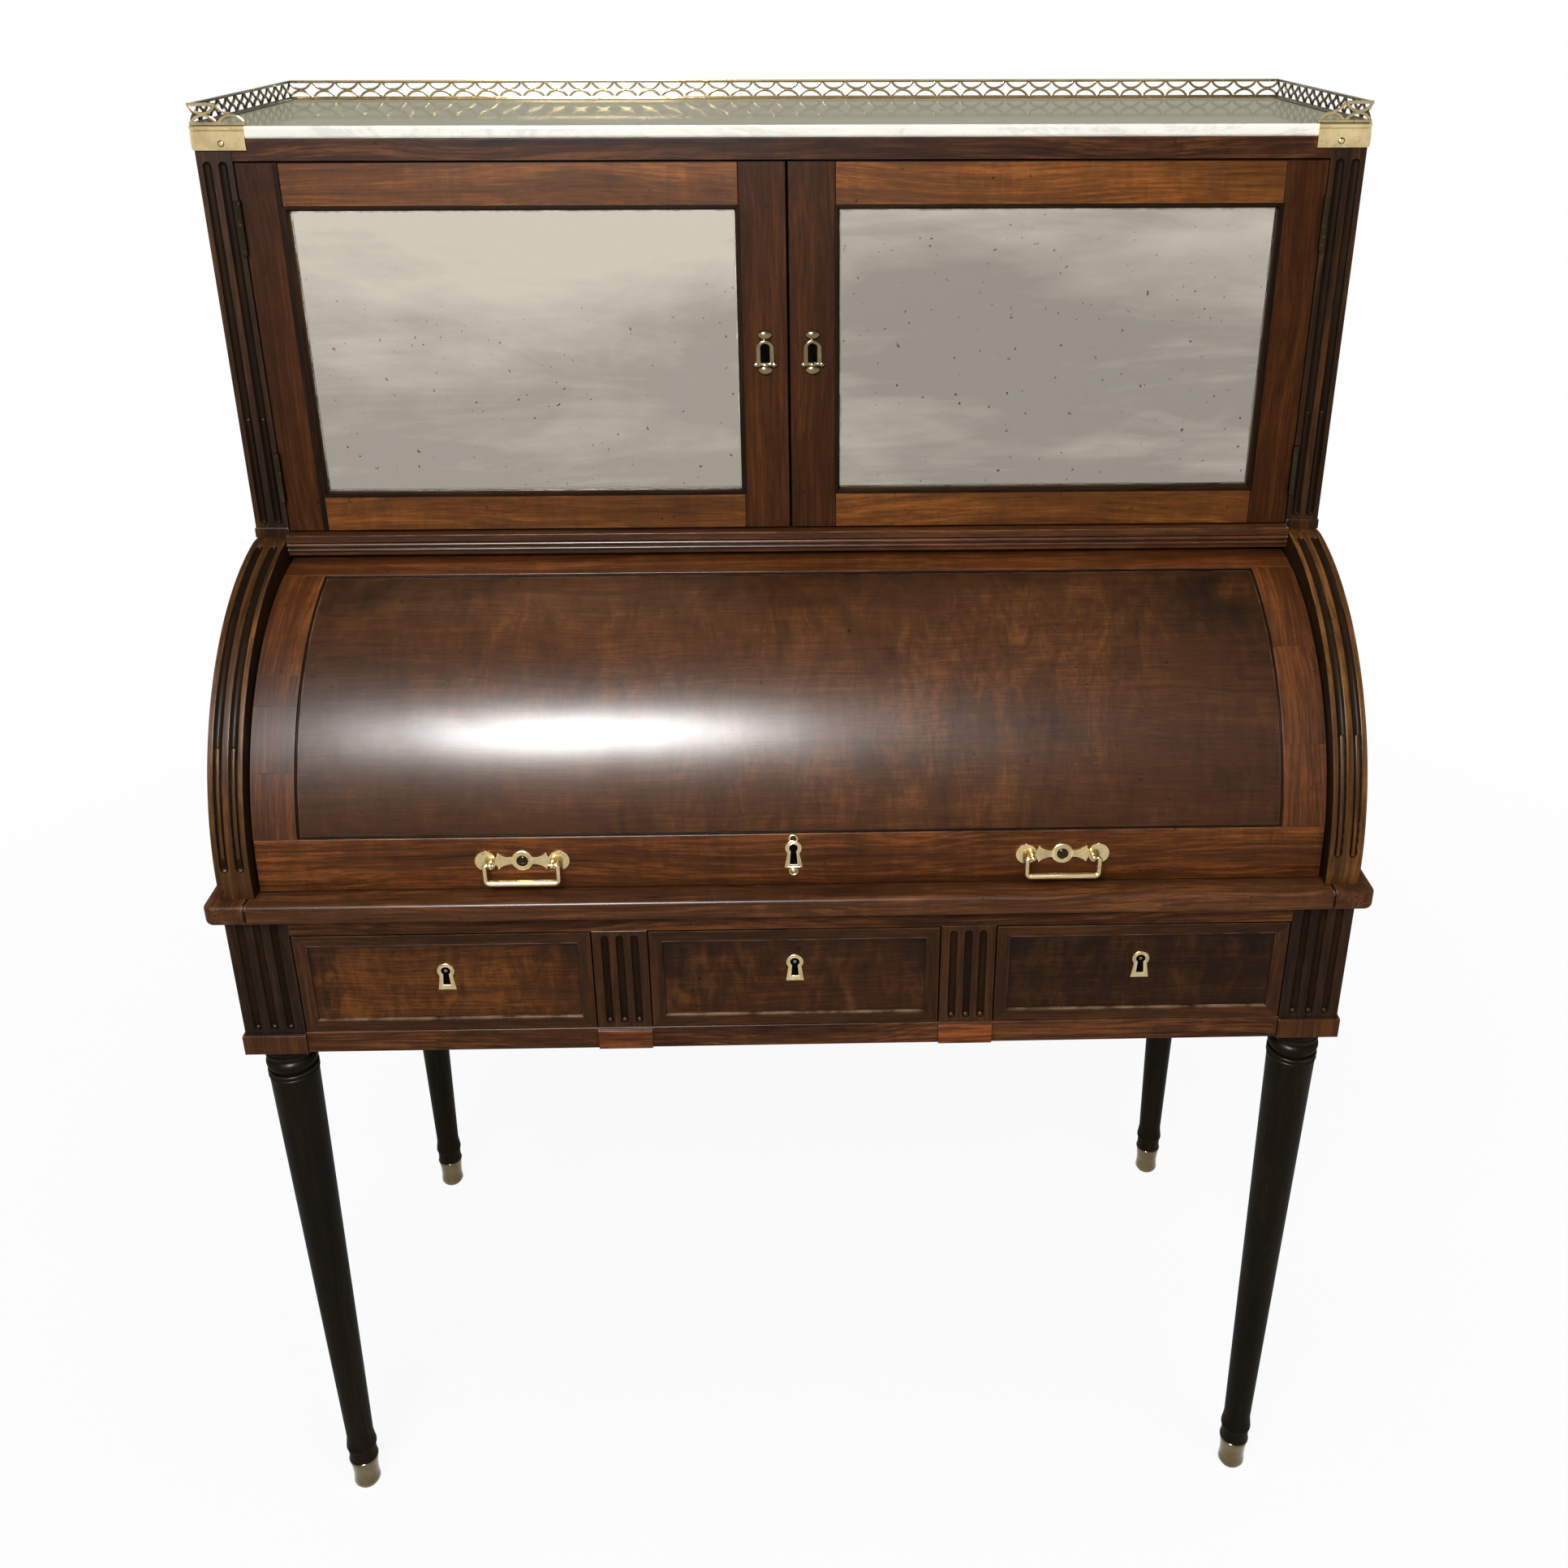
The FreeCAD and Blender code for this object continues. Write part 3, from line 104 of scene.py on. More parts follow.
def setPiece(name, stock, finishes, body, node, angle=34):
    # the stock becomes a piece on a body; rounded edges shade smoothly and flat faces stay flat
    mesh = bpy.data.meshes.new(name)
    mesh.from_pydata(stock["verts"], [], stock["faces"])
    mesh.polygons.foreach_set("material_index", stock["finish"])
    mesh.attributes.new("grainCo", "FLOAT_VECTOR", "CORNER").data.foreach_set("vector", stock["grain"])
    mesh.attributes.new("jointLine", "FLOAT", "CORNER").data.foreach_set("value", stock["joint"])
    for finish in finishes:
        mesh.materials.append(bpy.data.materials[finish])
    bm = bmesh.new()
    bm.from_mesh(mesh)
    bmesh.ops.recalc_face_normals(bm, faces=bm.faces)
    bm.to_mesh(mesh)
    bm.free()
    mesh.polygons.foreach_set("use_smooth", [True] * len(mesh.polygons))
    mesh.set_sharp_from_angle(angle=math.radians(angle))
    piece = newPiece(name, mesh)
    piece.modifiers.new("normals", "WEIGHTED_NORMAL").keep_sharp = True
    bake(piece)
    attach(piece, body)
    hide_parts(node)


def skin(bm, rings, loop=False, caps=False):
    # faces between matching rings of points
    for low, high in zip(rings, rings[1:] + rings[:1] if loop else rings[1:]):
        for k in range(len(low)):
            m = (k + 1) % len(low)
            bm.faces.new((low[k], low[m], high[m], high[k]))
    if caps:
        bm.faces.new(rings[0][::-1])
        bm.faces.new(rings[-1])
    return bm


def prism(axis, outline, start, end, edge, segments=3):
    # an outline drawn across the axis and run along it, all edges rounded
    k = "xyz".index(axis)
    bm = bmesh.new()
    low, high = ([bm.verts.new((*point[:k], s, *point[k:])) for point in outline] for s in (start, end))
    bm.faces.new(low)
    bm.faces.new(high)
    skin(bm, [low, high])
    bmesh.ops.recalc_face_normals(bm, faces=bm.faces)
    if edge:
        bmesh.ops.bevel(bm, geom=bm.edges[:], offset=edge, segments=segments, profile=0.5, affect="EDGES",
                        clamp_overlap=True)
    return bm


def slab(axis, low, high, edge):
    # a plain board between two corners, its grain along the axis
    i, j = {"x": (1, 2), "y": (0, 2), "z": (0, 1)}[axis]
    k = "xyz".index(axis)
    outline = [(low[i], low[j]), (high[i], low[j]), (high[i], high[j]), (low[i], high[j])]
    return prism(axis, outline, low[k], high[k], edge)


def cut(bm, at, way):
    bmesh.ops.bisect_plane(bm, geom=bm.verts[:] + bm.edges[:] + bm.faces[:], plane_co=at, plane_no=way)


def mitred(stock, box, profile, name, finish=0, joint=0.0006):
    # a closed profile of (inset, y) run round a rectangle, with a fine dark line at each mitre
    x0, x1, z0, z1 = box
    corners = [(x0, z0, 1, 1), (x1, z0, -1, 1), (x1, z1, -1, -1), (x0, z1, 1, -1)]
    start, count, rings = len(stock["verts"]), len(profile), []
    for index in range(12):
        side, which = divmod(index, 3)
        ring = []
        for inset, y in profile:
            a, b = (Vector((x + dx * inset, y, z + dz * inset))
                    for x, z, dx, dz in (corners[side], corners[(side + 1) % 4]))
            step = (b - a).normalized() * joint
            ring.append((a, a + step, b - step)[which])
        rings.append(ring)
        stock["verts"].extend(ring)
    for index in range(12):
        side, which = divmod(index, 3)
        grain = alongAxis("xzxz"[side], name + str(side))
        lines = ((1.0, 0.0), (0.0, 0.0), (0.0, 1.0))[which]
        rows = (index, (index + 1) % 12)
        for k in range(count):
            m = (k + 1) % count
            spots = ((0, k), (0, m), (1, m), (1, k))
            stock["faces"].append([start + rows[row] * count + point for row, point in spots])
            stock["finish"].append(finish(k) if callable(finish) else finish)
            for row, point in spots:
                stock["grain"].extend(grain(rings[rows[row]][point]))
                stock["joint"].append(lines[row])


def cadCopy(nodeName, edge, shortest=0.004, keep=None):
    # a merged copy of a CAD node, or of the solids in it to keep, with its long sharp edges softened
    bm = bmesh.new()
    bm.from_mesh(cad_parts[nodeName].data)
    bmesh.ops.remove_doubles(bm, verts=bm.verts, dist=2e-6)
    if keep:
        bmesh.ops.delete(bm, geom=[vert for vert in bm.verts if not keep(vert.co)], context="VERTS")
    bmesh.ops.dissolve_limit(bm, angle_limit=math.radians(0.2), verts=bm.verts, edges=bm.edges)
    if edge:
        sharp = [e for e in bm.edges if len(e.link_faces) == 2 and e.calc_length() > shortest
                 and e.calc_face_angle(0) > math.radians(30)]
        bmesh.ops.bevel(bm, geom=sharp, offset=edge, segments=3, profile=0.5, affect="EDGES",
                        clamp_overlap=False)
    return bm


def tube(path, radii, across, sides):
    # a round bar along a flat path; across is the direction the path never takes
    bm = bmesh.new()
    turns = [2 * math.pi * k / sides for k in range(sides)]
    rings = []
    for i, point in enumerate(path):
        ahead = (path[min(i + 1, len(path) - 1)] - path[max(i - 1, 0)]).normalized()
        side = ahead.cross(across)
        spokes = [side * math.cos(t) + across * math.sin(t) for t in turns]
        rings.append([bm.verts.new(point + spoke * radii[i]) for spoke in spokes])
    return skin(bm, rings, caps=True)


def rimmed(outer, inner, rows, place):
    # a band between two matching outlines; each row gives a share of the way in and a height
    bm = bmesh.new()
    return skin(bm, [[bm.verts.new(place(a[0] + (b[0] - a[0]) * share, a[1] + (b[1] - a[1]) * share, height))
                      for a, b in zip(outer, inner)] for share, height in rows], loop=True)


def ringOutline(middle, wide, high, count):
    turns = [2 * math.pi * k / count for k in range(count)]
    return [(middle[0] + wide * math.cos(t), middle[1] + high * math.sin(t)) for t in turns]


def domed(middle, reach, rise, place, sink=0.0006, sides=24, steps=6):
    # a round or oval boss standing on a face
    bm = bmesh.new()
    rings = []
    for i in range(-1, steps):
        turn = max(i, 0) * math.pi / 2 / steps
        height = -sink if i < 0 else rise * math.sin(turn)
        outline = ringOutline(middle, reach[0] * math.cos(turn), reach[1] * math.cos(turn), sides)
        rings.append([bm.verts.new(place(*point, height)) for point in outline])
    top = bm.verts.new(place(middle[0], middle[1], rise))
    skin(bm, rings)
    for k in range(sides):
        bm.faces.new((rings[-1][k], rings[-1][(k + 1) % sides], top))
    bm.faces.new(rings[0][::-1])
    return bm


def stepsTo(first, last, count):
    return [tuple(a + (b - a) * k / count for a, b in zip(first, last)) for k in range(1, count + 1)]


def keyOutline(middle, eye, reach, neck, foot, low):
    # round head over a flared foot, anticlockwise from where the head meets the right side
    start = -math.acos(min(1.0, neck / reach))
    turns = [start + (math.pi - 2 * start) * k / 28 for k in range(29)]
    points = [(middle + reach * math.cos(t), eye + reach * math.sin(t)) for t in turns]
    left, right = (middle - foot, low), (middle + foot, low)
    return points + stepsTo(points[-1], left, 6) + stepsTo(left, right, 8) + stepsTo(right, points[0], 6)[:-1]


class wire:
    # a value on its way through a tree; reckoning with it adds nodes there

    def __init__(self, bench, socket):
        self.bench, self.socket = bench, socket

    __add__ = lambda self, other: self.bench.sums("ADD", self, other)
    __sub__ = lambda self, other: self.bench.sums("SUBTRACT", self, other)
    __rsub__ = lambda self, other: self.bench.sums("SUBTRACT", other, self)
    __mul__ = lambda self, other: self.bench.sums("MULTIPLY", self, other)
    __truediv__ = lambda self, other: self.bench.sums("DIVIDE", self, other)
    __pow__ = lambda self, other: self.bench.sums("POWER", self, other)
    __abs__ = lambda self: self.bench.sums("ABSOLUTE", self)

    def clamped(self):
        self.socket.node.use_clamp = True
        return self


class nodeBench:
    # draws nodes in one tree; a value may be a number, a colour, a place or a wire

    def __init__(self, tree):
        self.tree = tree
        tree.nodes.clear()

    def add(self, kind, **settings):
        item = self.tree.nodes.new(kind)
        for key, value in settings.items():
            setattr(item, key, value)
        return item

    def wires(self, item):
        return {socket.name: wire(self, socket) for socket in item.outputs}

    def fill(self, item, given):
        for label, value in given.items():
            if isinstance(value, wire):
                self.tree.links.new(value.socket, item.inputs[label])
            else:
                item.inputs[label].default_value = value
        return item

    def put(self, kind, given=(), out=0, **settings):
        return wire(self, self.fill(self.add(kind, **settings), dict(given)).outputs[out])

    def group(self, name, **given):
        return self.wires(self.fill(self.add("ShaderNodeGroup", node_tree=bpy.data.node_groups[name]), given))

    def sums(self, how, first, second=0.0):
        return self.put("ShaderNodeMath", {0: first, 1: second}, operation=how)

    def most(self, first, *others):
        for other in others:
            first = self.sums("MAXIMUM", first, other)
        return first

    def blend(self, share, first, second):
        return self.put("ShaderNodeMix", {0: share, 6: first, 7: second}, 2, data_type="RGBA")

    def layered(self, colour, *layers):
        # each layer: where it lies, how much it covers, its colour
        for mask, share, over in layers:
            colour = self.blend(mask * share, colour, over)
        return colour

    def span(self, value, low, high, least=0.0, most=1.0):
        return self.put("ShaderNodeMapRange", enumerate((value, low, high, least, most)))

    def stretch(self, place, scale, shift=(0, 0, 0), turn=(0, 0, 0)):
        given = {"Vector": place, "Location": shift, "Rotation": turn, "Scale": scale}
        return self.put("ShaderNodeMapping", given)

    def clouds(self, place, scale, detail=3.0, rough=0.55, twist=0.0):
        return self.put("ShaderNodeTexNoise", {"Vector": place, "Scale": scale, "Detail": detail,
                                               "Roughness": rough, "Distortion": twist})

    def streaks(self, place, scale, detail=2.0, rough=0.55, twist=0.0, shift=(0, 0, 0), turn=(0, 0, 0)):
        # clouds drawn out by a scale of their own in each direction
        return self.clouds(self.stretch(place, scale, shift, turn), 1.0, detail, rough, twist)

    def split(self, place):
        return list(self.wires(self.fill(self.add("ShaderNodeSeparateXYZ"), {0: place})).values())

    def upward(self):
        return self.split(self.put("ShaderNodeNewGeometry", out="Normal"))[2]

    def near(self, reach, **settings):
        # how much of a surface's own shape lies within reach
        settings.update(samples=6, only_local=True)
        return 1.0 - self.put("ShaderNodeAmbientOcclusion", {"Distance": reach}, "AO", **settings)

    def bump(self, height, strength, distance=0.001):
        return self.put("ShaderNodeBump", {"Strength": strength, "Distance": distance, "Height": height})

    def shownRays(self):
        rays = self.wires(self.add("ShaderNodeLightPath"))
        return self.most(*(rays["Is %s Ray" % kind] for kind in ("Camera", "Glossy", "Transmission")))


def makeGroup(name, given, made):
    # the kind of an input follows from its default: a number, a colour of four, or a place
    group = bpy.data.node_groups.new(name, "ShaderNodeTree")
    for label, value in given.items():
        kind = "Float" if isinstance(value, float) else "Color" if len(value) == 4 else "Vector"
        socket = group.interface.new_socket(label, in_out="INPUT", socket_type="NodeSocket" + kind)
        socket.default_value = value
    for label in made:
        kind = "Color" if label == "Color" else "Float"
        group.interface.new_socket(label, in_out="OUTPUT", socket_type="NodeSocket" + kind)
    t = nodeBench(group)
    return t, t.wires(t.add("NodeGroupInput")), t.add("NodeGroupOutput")


def grainGroup():
    # sawn mahogany: wandering grain lines, slow tone, cross figure in patches and open pores
    t, given, made = makeGroup("sawnGrain", {
        "Place": (0, 0, 0), "Dark": (0.03, 0.012, 0.006, 1), "Mid": (0.07, 0.03, 0.014, 1),
        "Light": (0.15, 0.06, 0.03, 1), "Stripe": 1.0, "Figure": 0.3, "Tone": 0.8}, ("Color", "Height"))
    place, stripe = given["Place"], given["Stripe"]
    drift = t.streaks(place, (2.6, 8.0, 8.0)) * 0.045
    lift = t.put("ShaderNodeCombineXYZ", {1: drift, 2: drift})
    bent = t.put("ShaderNodeVectorMath", {0: place, 1: lift}, operation="ADD")
    lines = t.streaks(bent, (2.4, 70.0, 70.0), 5.0, 0.62)
    fine = t.streaks(bent, (16.0, 420.0, 420.0), 3.0, 0.6)
    tone = t.streaks(place, (2.2, 7.0, 7.0), shift=(4, 2, 1))
    cross = t.streaks(bent, (36.0, 12.0, 12.0), 3.0, 0.55, 0.9)
    ribbon = t.streaks(bent, (75.0, 24.0, 24.0), 4.0, 0.62, 1.8, (1, 5, 2))
    figure = cross * 0.55 + ribbon * 0.45
    where = t.span(t.streaks(place, (5.0, 8.0, 8.0), 3.0, 0.6, 0.8, (7, 3, 5)), 0.36, 0.66, 0.35, 1.2)
    pores = t.span(t.streaks(place, (70.0, 1150.0, 1150.0)), 0.56, 0.70)
    depth = (lines - 0.5) * (stripe * 1.5) + (fine - 0.5) * (stripe * 0.9 + 0.45)
    depth = depth + (tone - 0.5) * given["Tone"] + (figure - 0.5) * where * (given["Figure"] * 1.7)
    depth = (depth + 0.5).clamped()
    low = t.blend(t.span(depth, 0.0, 0.5), given["Dark"], given["Mid"])
    full = t.blend(t.span(depth, 0.5, 1.0), low, given["Light"])
    t.fill(made, {"Color": t.layered(full, (pores, 0.6, given["Dark"])), "Height": fine * 0.4 - pores * 0.6})


def grimeGroup():
    # painted shade in corners and flutes, with the dark polish and dust that settle there
    t, given, made = makeGroup("cornerShadeAndGrime", {"Place": (0, 0, 0), "Reach": 0.012}, ("Mask",))
    patch = t.span(t.clouds(given["Place"], 55.0), 0.25, 0.65, 0.55, 1.0)
    t.fill(made, {"Mask": t.span(t.near(given["Reach"]), 0.12, 0.75) * patch})


def wearGroup():
    # edges rubbed paler by hands and cloths, with a painted highlight that is strongest where they face up
    t, given, made = makeGroup("rubbedAndToplitEdges", {"Place": (0, 0, 0), "Reach": 0.0026, "Least": 0.08}, ("Mask",))
    edges = t.span(t.near(given["Reach"], inside=True), 0.26, 0.62)
    toplight = t.span(t.upward(), 0.0, 0.75, given["Least"], 1.0)
    patch = t.span(t.clouds(given["Place"], 38.0, 4.0, 0.6), 0.36, 0.60)
    t.fill(made, {"Mask": edges * toplight * patch})


def smearGroup():
    # cloudy smears, fine scuffs and pits in a polished face
    t, given, made = makeGroup("polishSmears", {"Place": (0, 0, 0)}, ("Mask", "Scuffs", "Pits"))
    place = given["Place"]
    scuffs = t.streaks(place, (45.0, 45.0, 600.0), turn=(0.3, 0.5, 0.2))
    t.fill(made, {"Mask": t.span(t.clouds(place, 9.0, 4.0, 0.6, 0.6), 0.32, 0.72),
                  "Scuffs": t.span(scuffs, 0.68, 0.76),
                  "Pits": t.span(t.clouds(place, 150.0, 3.0, 0.62, 0.4), 0.690, 0.725)})


def rimGroup():
    # painted shade: a field darker towards its top and upper sides, with a cloudy border
    t, given, made = makeGroup("rimShade", {"Place": (0, 0, 0), "Middle": (0, 0, 0), "Size": (1, 1, 1)},
                               ("Mask",))
    off = t.put("ShaderNodeVectorMath", {0: given["Place"], 1: given["Middle"]}, operation="SUBTRACT")
    x, z, _ = t.split(t.put("ShaderNodeVectorMath", {0: off, 1: given["Size"]}, operation="DIVIDE"))
    side = t.span(abs(x), 0.55, 1.02) * t.span(z, -0.7, 0.5, 0.30, 1.0)
    end = t.span(z, 0.25, 1.10) + t.span(z, -1.04, -0.80, 1.0, 0.0) * 0.45
    patch = t.span(t.clouds(given["Place"], 16.0, 4.0, 0.6), 0.25, 0.65, 0.45, 1.0)
    t.fill(made, {"Mask": (side ** 1.15 + end ** 1.8).clamped() * patch})


for makeOne in (grainGroup, grimeGroup, wearGroup, smearGroup, rimGroup):
    makeOne()


def startFinish(name):
    material = bpy.data.materials.new(name)
    material.use_nodes = True
    t = nodeBench(material.node_tree)
    shader = t.add("ShaderNodeBsdfPrincipled")
    t.fill(t.add("ShaderNodeOutputMaterial"), {0: wire(t, shader.outputs[0])})
    return t, shader, t.put("ShaderNodeTexCoord", out="Object")


def shaded(colour, shade):
    return (*(shade * c for c in colour[:3]), 1)


# mean colour, how far the grain goes from it, stripes, cross figure; edge wear with painted highlight, and
# polish, where unusual
woodTones = {
    "caseMahogany": ((0.0260, 0.0094, 0.0025), 2.8, 1.0, 0.35, 0.2, 0.06),
    "uprightMahogany": ((0.0240, 0.0094, 0.0025), 2.7, 1.4, 0.3),
    # near-black painted shade for flutes, open joints and the arms' inner faces
    "fluteMahogany": ((0.0135, 0.0064, 0.0022), 2.0, 0.9, 0.3, 0.62, 0.02),
    "armMahogany": ((0.0600, 0.0236, 0.0052), 2.8, 1.1, 0.4),
    "railMahogany": ((0.0500, 0.0169, 0.0050), 2.9, 1.6, 0.4),
    "upperRailMahogany": ((0.0400, 0.0140, 0.0046), 2.8, 1.4, 0.4, 0.62, 0.06),
    "mouldMahogany": ((0.0520, 0.0169, 0.0050), 2.4, 1.0, 0.3, 0.9, 0.16),
    "slabMahogany": ((0.0620, 0.0226, 0.0074), 2.6, 1.0, 0.4),
    "dieMahogany": ((0.0290, 0.0110, 0.0032), 2.4, 0.9, 0.3),
    "cornerDieMahogany": ((0.0140, 0.0062, 0.0022), 2.4, 0.9, 0.3),
    "blockMahogany": ((0.0950, 0.0263, 0.0068), 2.6, 1.4, 0.3),
    "cornerBlockMahogany": ((0.0460, 0.0160, 0.0043), 2.2, 0.9, 0.3),
    # painted shade: the drawer veneers darken from left to right, where less light falls
    "drawerVeneerLeft": ((0.0520, 0.0169, 0.0034), 2.9, 0.5, 1.8),
    "drawerVeneerCentre": ((0.0360, 0.0122, 0.0030), 2.8, 0.5, 1.7),
    "drawerVeneerRight": ((0.0190, 0.0068, 0.0015), 2.7, 0.5, 1.6),
    "drawerFrameMahogany": ((0.0320, 0.0115, 0.0030), 2.4, 0.9, 0.3, 0.8),
    "legMahogany": ((0.0072, 0.0046, 0.0017), 2.0, 0.9, 0.1, 0.62, 0.06),
    "fallVeneer": ((0.0580, 0.0196, 0.0045), 2.35, 0.32, 1.15, 0.62, 0.17),
    "fallMahogany": ((0.0580, 0.0176, 0.0039), 2.5, 0.9, 0.5, 0.08, 0.2),
    "fallRailMahogany": ((0.0680, 0.0207, 0.0046), 2.7, 1.2, 0.5, 0.9),
    # painted shade for the beads and for the gaps round drawers and doors
    "beadMahogany": ((0.0110, 0.0050, 0.0018), 2.2, 0.9, 0.3, 0.0, 0.012),
    "doorRailMahogany": ((0.1050, 0.0335, 0.0055), 2.3, 0.95, 0.6),
    "doorStileMahogany": ((0.0360, 0.0108, 0.0021), 2.2, 0.9, 0.3, 0.3, 0.05),
    "nestMahogany": ((0.1000, 0.0376, 0.0099), 2.3, 1.0, 0.4),
}
woodFinish = {
    "rough": 0.42, "roughSpread": 0.16, "grimeRough": 0.2, "specular": 0.01, "polishRough": 0.31,
    "rubbedShine": 2.4, "bump": 0.14, "scuffs": 0.4, "rim": 0.88, "shadeAndGrime": 0.92, "pits": 0.75, "joint": 0.75,
    "wornPaleAndHighlight": (0.44, 0.27, 0.15, 1), "shadeAndGrimeDark": (0.004, 0.003, 0.002, 1),
}


def makeWood(name, mean, spread, stripe, figure, wearAndHighlight=0.62, polish=0.115, field=None):
    t, shader, own = startFinish(name)
    f, black = woodFinish, woodFinish["shadeAndGrimeDark"]
    dark, mid, light = (shaded(mean, k) for k in (1 / spread, 1.0, spread))
    place = t.put("ShaderNodeAttribute", out="Vector", attribute_name="grainCo")
    joint = t.put("ShaderNodeAttribute", out="Fac", attribute_name="jointLine")
    grain = t.group("sawnGrain", Place=place, Dark=dark, Mid=mid, Light=light, Stripe=stripe, Figure=figure)
    shadeAndGrime = t.group("cornerShadeAndGrime", Place=own)["Mask"]
    rubbed = t.group("rubbedAndToplitEdges", Place=own)["Mask"]
    smear = t.group("polishSmears", Place=own)
    colour = grain["Color"]
    # painted shade towards the rim of a veneered field
    if field:
        rim = t.group("rimShade", Place=place, Middle=field[0], Size=field[1])["Mask"]
        colour = t.layered(colour, (rim, f["rim"], black))
    # painted shade and grime in corners, edges paled by wear and a painted highlight, then pits and dark
    # joints
    colour = t.layered(colour, (rubbed, wearAndHighlight, f["wornPaleAndHighlight"]), (shadeAndGrime, f["shadeAndGrime"], black),
                       (smear["Pits"], f["pits"], black), (joint, f["joint"], black))
    rough = t.span(smear["Mask"], 0.0, 1.0, f["rough"], f["rough"] + f["roughSpread"])
    shine = t.span(smear["Mask"], 0.0, 1.0, 1.0, 0.7) * polish + rubbed * (polish * f["rubbedShine"] * wearAndHighlight)
    marks = (smear["Scuffs"] + smear["Pits"]) * f["scuffs"]
    t.fill(shader, {
        "Base Color": colour, "Roughness": rough + shadeAndGrime * f["grimeRough"],
        "Specular IOR Level": f["specular"], "Coat Roughness": f["polishRough"],
        "Coat Weight": shine * t.span(shadeAndGrime, 0.0, 1.0, 1.0, 0.1),
        "Normal": t.bump(grain["Height"] - marks, f["bump"])})


def fieldOf(name, low, high):
    # a board's field in grain places along x: centre and half size
    shift, order = seedOf(name), axisOrder["x"]
    middle = [(low[k] + high[k]) / 2 + shift[i] for i, k in enumerate(order)]
    return middle, [max((high[k] - low[k]) / 2, 1.0 if i == 2 else 0.001) for i, k in enumerate(order)]


flatPanel = (-0.425, 0.0, 0.0394), (0.425, 0.0, 0.2972)     # the fall's panel before it is bent
fields = {"fallVeneer": fieldOf("fallPanel", *flatPanel)}
for side in threeSides:
    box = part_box("drawer_%s_front" % side)
    fields["drawerVeneer" + side.title()] = fieldOf("drawerFront" + side.title(), *box)
for name, tones in woodTones.items():
    makeWood(name, *tones, field=fields.get(name))

oakFinish = {
    "dark": (0.085, 0.045, 0.020, 1), "light": (0.270, 0.165, 0.085, 1), "shadeAndGrime": (0.030, 0.018, 0.010, 1),
    "stain": (0.07, 0.040, 0.020, 1), "shadeAndGrimeReach": 0.03, "rough": 0.62, "jointOut": 0.0022,
    "jointIn": 0.0010, "plank": 0.132,
}


def makeOak(name, scale, plank=0.0):
    t, shader, own = startFinish(name)
    f = oakFinish
    rays = t.streaks(own, tuple(3.0 * s for s in scale), shift=(2, 1, 3))
    share = t.streaks(own, scale, 5.0, 0.65, 0.3) * 0.8 + rays * 0.3
    stain = t.clouds(own, 6.0, 4.0, 0.6)
    shadeAndGrime = t.group("cornerShadeAndGrime", Place=own, Reach=f["shadeAndGrimeReach"])["Mask"]
    colour = t.blend(t.span(share, 0.32, 0.78), f["dark"], f["light"])
    # real stains, then painted shade and grime in the corners
    colour = t.layered(colour, (t.span(stain, 0.45, 0.75), 0.5, f["stain"]), (shadeAndGrime, 0.6, f["shadeAndGrime"]))
    if plank:
        # boards one above the other, each of its own tone, with dark joints
        count = t.split(own)[2] / plank
        step = t.sums("FLOOR", count)
        tone = t.clouds(t.put("ShaderNodeCombineXYZ", {0: step, 1: step, 2: step}), 3.7, 0.0)
        colour = t.blend(t.span(tone, 0.3, 0.7, 0.0, 0.45), colour, f["dark"])
        off = abs(t.sums("FRACT", count) - 0.5)
        joint = t.span(off, 0.5 - f["jointOut"] / plank, 0.5 - f["jointIn"] / plank)
        colour = t.blend(joint, colour, f["shadeAndGrime"])
    t.fill(shader, {
        "Base Color": colour, "Roughness": t.span(stain, 0.0, 1.0, f["rough"] - 0.1, f["rough"] + 0.2),
        "Specular IOR Level": 0.3, "Normal": t.bump(share, 0.25)})


makeOak("oakBoardsAcross", (3.0, 40.0, 40.0))
makeOak("oakBoardsDeep", (40.0, 3.0, 40.0))
makeOak("oakPlanks", (3.0, 40.0, 40.0), oakFinish["plank"])

brassFinish = {
    "bright": (0.560, 0.440, 0.230, 1), "dull": (0.360, 0.275, 0.140, 1), "tarnish": (0.130, 0.085, 0.040, 1),
    "worn": (0.900, 0.780, 0.500, 1), "shadeAndGrime": (0.035, 0.024, 0.012, 1), "shadeAndGrimeReach": 0.004,
    "wornReach": 0.0012, "wornLeast": 0.5, "rough": 0.16, "roughSpread": 0.15,
}
# shade, tarnish spots, change of roughness, edge wear with a painted highlight
brassTones = {
    "agedBrass": (1.0, 0.55, 0.0, 0.6), "darkBrass": (0.06, 0.8, -0.08, 0.03),
    # the dark flank brass is painted shade on the inner sides of the gallery's flanks
    "galleryBrass": (0.88, 0.7, -0.10, 0.05), "flankBrass": (0.16, 0.8, -0.10, 0.03),
    "cornerBrass": (1.30, 0.5, -0.09, 0.2), "shoeBrass": (0.28, 1.0, -0.08, 0.3),
    "dullBrass": (0.40, 0.5, -0.08, 0.06),
}


